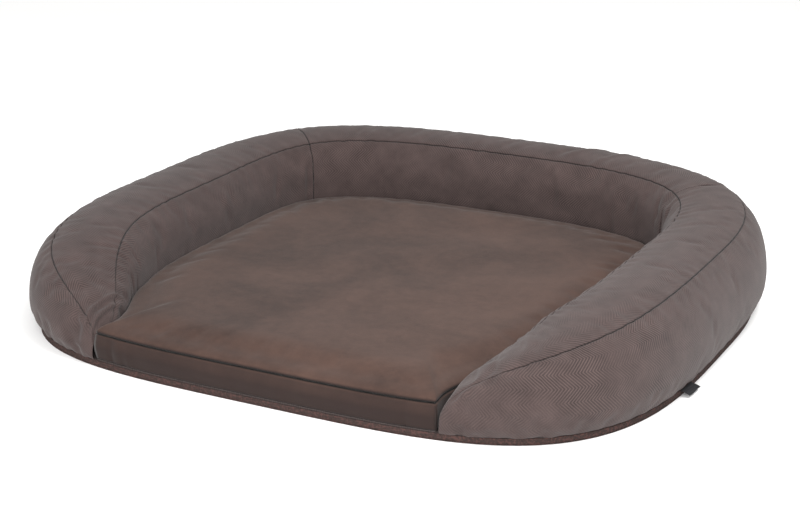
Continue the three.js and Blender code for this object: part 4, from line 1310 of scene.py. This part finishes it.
def boxing_window():
    """The zip's opening in the back strip, in places and shares of height."""
    low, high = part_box("seat_zip_tape")
    middle = (low.z + high.z) / 2
    reach = (high.x - low.x) / 2 - SEAT_WINDOW_MARGIN
    centre = (right_corner + left_corner) / 2
    edges = [middle + side * WINDOW_HALF_HEIGHT for side in (-1, 1)]
    shares = [(edge - BOXING_LOW) / (SEAT_SEAM_HEIGHT - BOXING_LOW) for edge in edges]
    return (centre - reach, centre + reach), shares


# %% Boxing
window_places, window_shares = boxing_window()
for strip, (low, high) in STRIPS.items():
    places = np.linspace(low + STRIP_GAP, high - STRIP_GAP, int((high - low) / FINE_STEP))
    if strip == "back":
        places = np.unique(np.concatenate([places, window_places]))
    opening = (window_places, window_shares) if strip == "back" else None
    boxing = sewn_panel(
        f"seat_{strip}_boxing_cloth", boxing_cover, places, (0, 1), 16, BOXING_LOW,
        (False, False), opening,
    )
    wear(boxing, nubuck, "seat_cushion", f"seat_{strip}_boxing")
print("boxing:", ", ".join(STRIPS))

# %% [markdown]
# ## The foams
# The lower foam is cut from a block, so its edges are crisp but give a little. The softer foam on
# top of it is moulded to the crown, so its upper face follows the settled top a cloth's thickness
# and a little air lower. Both are rings of the seat's outline at an inset and a height.


# %% Slabs
def ring_at(outline_at, inset, height):
    """A ring of points: an outline at an inset, all of it at one height."""
    return np.concatenate([outline_at(inset), np.full((around_count, 1), height)], -1)


def slab(name, outline_at, heights):
    """A closed body through outlines, one for each (inset, height), fanned shut at both ends."""
    rings = np.stack([ring_at(outline_at, inset, height) for inset, height in heights])
    return closed_tube(name, rings)


def seat_outline_at(inset):
    """The seat's outline, pulled in by an inset."""
    return seat_point(around, np.full(around_count, inset))


def rounded_edge(low, high, inset, radius):
    """Insets and heights up a vertical edge whose corners have a radius."""
    turns = np.radians(np.linspace(0, 90, 5))
    up = [(inset + radius * (1 - math.sin(t)), low + radius * (1 - math.cos(t))) for t in turns]
    down = [(inset + radius * (1 - math.cos(t)), high - radius * (1 - math.sin(t))) for t in turns]
    return up + down


# %% Foams
FOAM_INSET = 10 * MM
FOAM_EDGE = 3 * MM
FOAM_UNDER_TOP = 6 * MM
FAN_SHARE = 0.9
support_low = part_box("seat_support_foam")[0].z
support_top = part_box("seat_support_foam")[1].z
memory_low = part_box("seat_memory_foam")[0].z
support_rings = rounded_edge(support_low, support_top, FOAM_INSET, FOAM_EDGE)
support_rings.append((seat_half_size * FAN_SHARE, support_top))
support = slab("seat_support_foam_block", seat_outline_at, support_rings)
wear(support, support_foam, "seat_cushion", "seat_support_foam")
foam_insets = np.linspace(0, FAN_SHARE * seat_half_size, 22)
under_top = seat_top(around, foam_insets + FOAM_INSET)
under_top[..., 2] -= FOAM_UNDER_TOP
edge_points = [
    ring_at(seat_outline_at, FOAM_INSET + FOAM_EDGE, memory_low),
    ring_at(seat_outline_at, FOAM_INSET, memory_low + FOAM_EDGE),
]
memory = closed_tube(
    "seat_memory_foam_block", np.concatenate([edge_points, under_top.transpose(1, 0, 2)]),
)
wear(memory, memory_foam, "seat_cushion", "seat_memory_foam")
print("foams:", support.name, memory.name)

# %% [markdown]
# ## Linings and base
# The bottom of the seat and the deck of the base are plain cut sheets. The base is a sheet of felt
# with wadding on it and a felt band round its edge. They share the outline of the bolster's foot.

# %% Outline of the foot
foot_angle = np.linspace(-math.pi / 2, 3 * math.pi / 2, around_count, endpoint=False)
right_half = foot_angle <= math.pi / 2
foot_line = footprint(np.where(right_half, foot_angle, math.pi - foot_angle))
foot_line[:, 0] *= np.where(right_half, 1, -1)
foot_walk = np.linalg.norm(np.diff(np.concatenate([foot_line, foot_line[:1]]), axis=0), axis=1)
foot_middle = (foot_line.min(0) + foot_line.max(0)) / 2
foot_half_size = (foot_line[:, 1].max() - foot_line[:, 1].min()) / 2


def foot_outline_at(inset):
    """The line of the bolster's foot, shrunk towards its middle by an inset."""
    return foot_middle + (foot_line - foot_middle) * (1 - inset / foot_half_size)


# %% Linings and base
BOTTOM_INSET = 0.5 * MM
DECK_INSET = 2 * MM
PAD_INSET = 2.2 * MM
PAD_EDGE = 2.5 * MM


def lining(name, outline_at, node, inset, material, body):
    """A thin sheet in place of a flat node."""
    low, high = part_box(node)
    edge = (high.z - low.z) * 0.4
    fan = foot_half_size * 0.5
    heights = [(fan, low.z), *rounded_edge(low.z, high.z, inset, edge), (fan, high.z)]
    sheet = slab(name, outline_at, heights)
    wear(sheet, material, body, node)
    outline = outline_at(inset)


lining("seat_bottom_panel_cloth", seat_outline_at, "seat_bottom_panel", BOTTOM_INSET, spunbond,
       "seat_cushion")
lining("deck_panel_cloth", foot_outline_at, "deck_panel", DECK_INSET, spunbond,
       "bolster_and_base")
lining("base_panel_felt", foot_outline_at, "base_panel", 0.0, felt,
       "bolster_and_base")
pad_low, pad_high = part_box("base_pad")
wadding_rings = rounded_edge(pad_low.z, pad_high.z, PAD_INSET, PAD_EDGE)
wadding_rings.append((foot_half_size * FAN_SHARE, pad_high.z))
wadding = slab("base_pad_wadding", foot_outline_at, wadding_rings)
wear(wadding, fibre_fill, "bolster_and_base", "base_pad")


# %% Band
BAND_WAVE = 0.5 * MM
BAND_WAVE_LENGTH = 70 * MM
BAND_WAVE_SEED = 95


def make_band():
    """The felt band: a closed hoop with soft edges that waves a little, as cut felt does."""
    low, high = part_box("base_band")
    outline = [(0.0, low.z + 0.6 * MM), (0.0, high.z - 0.9 * MM), (0.35 * MM, high.z - 0.1 * MM),
               (1.1 * MM, high.z), (1.5 * MM, high.z - 0.4 * MM), (1.5 * MM, low.z + 0.4 * MM),
               (1.0 * MM, low.z), (0.3 * MM, low.z + 0.1 * MM)]
    rounds = np.concatenate([[0], np.cumsum(foot_walk)[:-1]])
    wave = BAND_WAVE * ripple(rounds, BAND_WAVE_SEED, BAND_WAVE_LENGTH)
    rings = []
    for inset, height in outline:
        flat = foot_outline_at(inset)
        outward = -turned(np.roll(flat, 1, axis=0), np.roll(flat, -1, axis=0))
        rings.append(np.concatenate([flat - outward * np.abs(wave)[:, None] * 0.5,
                                     np.full((around_count, 1), height)], -1))
    rings = np.stack(rings, 1)
    count = len(outline)
    quads = grid_faces(around_count, count + 1, loop=True)
    index = (quads // (count + 1)) * count + (quads % (count + 1)) % count
    return face_out(mesh_object("base_band_felt", rings, index))


band = make_band()
wear(band, felt, "bolster_and_base", "base_band")
print("base: felt, wadding, deck and band")

# %% [markdown]
# ## The zips
# A coil zip is a nylon wire wound into two flat spirals that hook into each other, sewn to woven
# tapes, with a cast slider. The tapes, stops, sliders and pull are right as they are and only get
# their finish, with a small bevel on the metal, and the coils are wound by a formula.

# %% Metal and tape
for name in ("back_zip_slider", "back_zip_pull", "seat_zip_slider", "back_zip_stop_right",
             "back_zip_stop_left", "seat_zip_stop_right", "seat_zip_stop_left"):
    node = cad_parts[name]
    node.data.materials.clear()
    node.data.materials.append(zinc)
    bevel = node.modifiers.new("worn_edge", "BEVEL")
    bevel.width = 0.25 * MM
    bevel.segments = 2
    bevel.limit_method = "ANGLE"
for name in ("back_zip_tape", "seat_zip_tape"):
    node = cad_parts[name]
    node.data.materials.clear()
    node.data.materials.append(zip_tape)
print("zip hardware finished in", zinc.name, "and", zip_tape.name)

# %% Coils
COIL_PITCH = 1.9 * MM
WIRE_RADIUS = 0.35 * MM
WIRE_SIDES = 6
TURN_STEPS = 10
COIL_OFFSET = 1.0 * MM
COIL_HALF_HEIGHT = 1.35 * MM
COIL_HALF_DEPTH = 0.38 * MM


def coil(line, outward, side):
    """A flattened spiral of wire on one side of the middle of a zip."""
    steps = len(line)
    turn = 2 * math.pi * np.arange(steps) / TURN_STEPS + (math.pi if side < 0 else 0)
    up = np.array([0, 0, 1.0])
    path = line + up * side * COIL_OFFSET
    path = path + up * (COIL_HALF_HEIGHT * np.cos(turn))[:, None]
    path = path + outward * (COIL_HALF_DEPTH * np.sin(turn))[:, None]
    ahead = np.gradient(path, axis=0)
    ahead /= np.linalg.norm(ahead, axis=1, keepdims=True)
    first = np.cross(ahead, outward)
    first /= np.linalg.norm(first, axis=1, keepdims=True)
    second = np.cross(ahead, first)
    angles = (2 * math.pi * np.arange(WIRE_SIDES) / WIRE_SIDES)[None, :, None]
    wire = first[:, None] * np.cos(angles) + second[:, None] * np.sin(angles)
    return path[:, None] + WIRE_RADIUS * wire


def zip_coils(name, chain, body):
    """Both spirals of a zip along its chain's solid, as one piece."""
    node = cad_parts[chain]
    points = np.array([v.co for v in node.data.vertices])
    low, high = points[:, 0].min(), points[:, 0].max()
    count = int((high - low) / COIL_PITCH * TURN_STEPS)
    x = np.linspace(low + 1 * MM, high - 1 * MM, count)
    fit = np.polyfit(points[:, 0], points[:, 1], 2)
    middle = (points[:, 2].min() + points[:, 2].max()) / 2
    line = np.stack([x, np.polyval(fit, x), np.full(count, middle)], -1)
    slope = np.polyval(np.polyder(fit), x)
    outward = np.stack([-slope, np.ones(count), np.zeros(count)], -1)
    outward /= np.linalg.norm(outward, axis=1, keepdims=True)
    vertices = []
    faces = []
    for side in (-1, 1):
        half = closed_tube(f"{name}_{side}", coil(line, outward, side))
        offset = len(vertices)
        vertices += [tuple(v.co) for v in half.data.vertices]
        faces += [[v + offset for v in p.vertices] for p in half.data.polygons]
        bpy.data.objects.remove(half)
    made = mesh_object(name, vertices, faces)
    made.data.shade_smooth()
    print(name, "with", round((high - low) / COIL_PITCH), "turns a side")
    return wear(made, nylon, body, chain)


zip_coils("back_zip_coil", "back_zip_chain", "bolster_and_base")
zip_coils("seat_zip_coil", "seat_zip_chain", "seat_cushion")

# %% [markdown]
# ## The label
# A woven label is a ribbon folded in half, with both ends sewn into the seam of the band, so it
# stands out from the bed as a flat loop and droops. Its solid gives where it stands, how wide it is
# and how far it reaches. The loop itself is a line in its own plane, drawn out along the seam.

# %% Label
LABEL_CLOTH = 0.35 * MM
FOLD_RADIUS = 0.55 * MM
LEG_POINTS = 12


def make_label():
    """The folded label as a closed shell."""
    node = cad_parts["side_label"]
    points = np.array([v.co for v in node.data.vertices])
    middle = points.mean(axis=0)
    flat = points[:, :2] - middle[:2]
    _, axes = np.linalg.eigh(flat.T @ flat)
    along = np.array([*axes[:, 1], 0.0])
    outward = np.cross(along, [0, 0, 1.0])
    outward *= np.sign(outward[0])
    length = float(np.ptp(flat @ along[:2]))
    deep = float(np.ptp((points - middle) @ outward))
    drop = float(np.ptp(points[:, 2])) - 1.2 * MM
    root = middle - outward * deep / 2
    top = points[:, 2].max() - 0.1 * MM
    out_along = np.linspace(0, 1, LEG_POINTS)
    upper = [(deep * t * 0.97, top - drop * t**1.3) for t in out_along]
    lower = [(reach, height - 2 * FOLD_RADIUS) for reach, height in reversed(upper)]
    tip_out, tip_up = upper[-1]
    fold = [
        (tip_out + FOLD_RADIUS * math.cos(turn), tip_up - FOLD_RADIUS + FOLD_RADIUS * math.sin(turn))
        for turn in np.radians(np.linspace(70, -70, 5))
    ]
    path = np.array(upper + fold + lower)
    ahead = np.gradient(path, axis=0)
    ahead /= np.linalg.norm(ahead, axis=1, keepdims=True)
    inner = path + np.stack([ahead[:, 1], -ahead[:, 0]], -1) * LABEL_CLOTH
    across = np.linspace(-length / 2, length / 2, 24)
    layers = []
    for line in (path, inner):
        spots = root + along * across[:, None, None] + outward * line[None, :, :1]
        spots[..., 2] = line[None, :, 1]
        sag = 0.5 * MM * np.sin(across / length * 7)[:, None] * (line[:, 0] / deep)[None, :]
        spots[..., 2] += sag
        layers.append(spots)
    faces = shell_faces(len(across), len(path))
    points = np.concatenate([layer.reshape(-1, 3) for layer in layers])
    return finish_mesh("side_label_loop", points, faces)


label = make_label()
wear(label, label_weave, "bolster_and_base", "side_label")
print("label made;", PIECE_COUNT["made"], "pieces in all")

# %% [markdown]
# ## The floor
# The bed stands on a plain pale disc, wide enough that its edge is far away. Matt studio paint has an
# IOR near 1.5 and hardly any gloss, so the bed leaves a soft shadow and no reflection. The floor is
# part of the stage and not of the bed.

# %% Floor
FLOOR_RADIUS = 30
FLOOR_SIDES = 96
FLOOR_DROP = 0.2 * MM
PAINT_PATCH = 333 * MM


def make_floor():
    """A matt floor a hair under the bed."""
    made, tree, shader = new_material("painted_studio_floor", 0.85, 1.5, Specular_IOR_Level=0.1)
    place = add(tree, "TexCoord").outputs["Object"]
    paint = add(tree, "TexNoise", {"Vector": place, "Scale": 1 / PAINT_PATCH, "Detail": 2})
    colour = add(tree, "Mix", {
        0: paint.outputs[0], 6: linear("f8f8f8"), 7: linear("fbfbfb"),
    }, data_type="RGBA")
    tree.links.new(colour.outputs[2], shader.inputs["Base Color"])
    angles = np.linspace(0, 2 * math.pi, FLOOR_SIDES, endpoint=False)
    flat = FLOOR_RADIUS * np.stack([np.cos(angles), np.sin(angles)], -1)
    ring = np.concatenate([flat, np.full((FLOOR_SIDES, 1), -FLOOR_DROP)], -1)
    floor = mesh_object("floor", ring, [list(range(FLOOR_SIDES))])
    floor.data.materials.append(made)
    print("floor", FLOOR_DROP / MM, "mm under the bed")


make_floor()
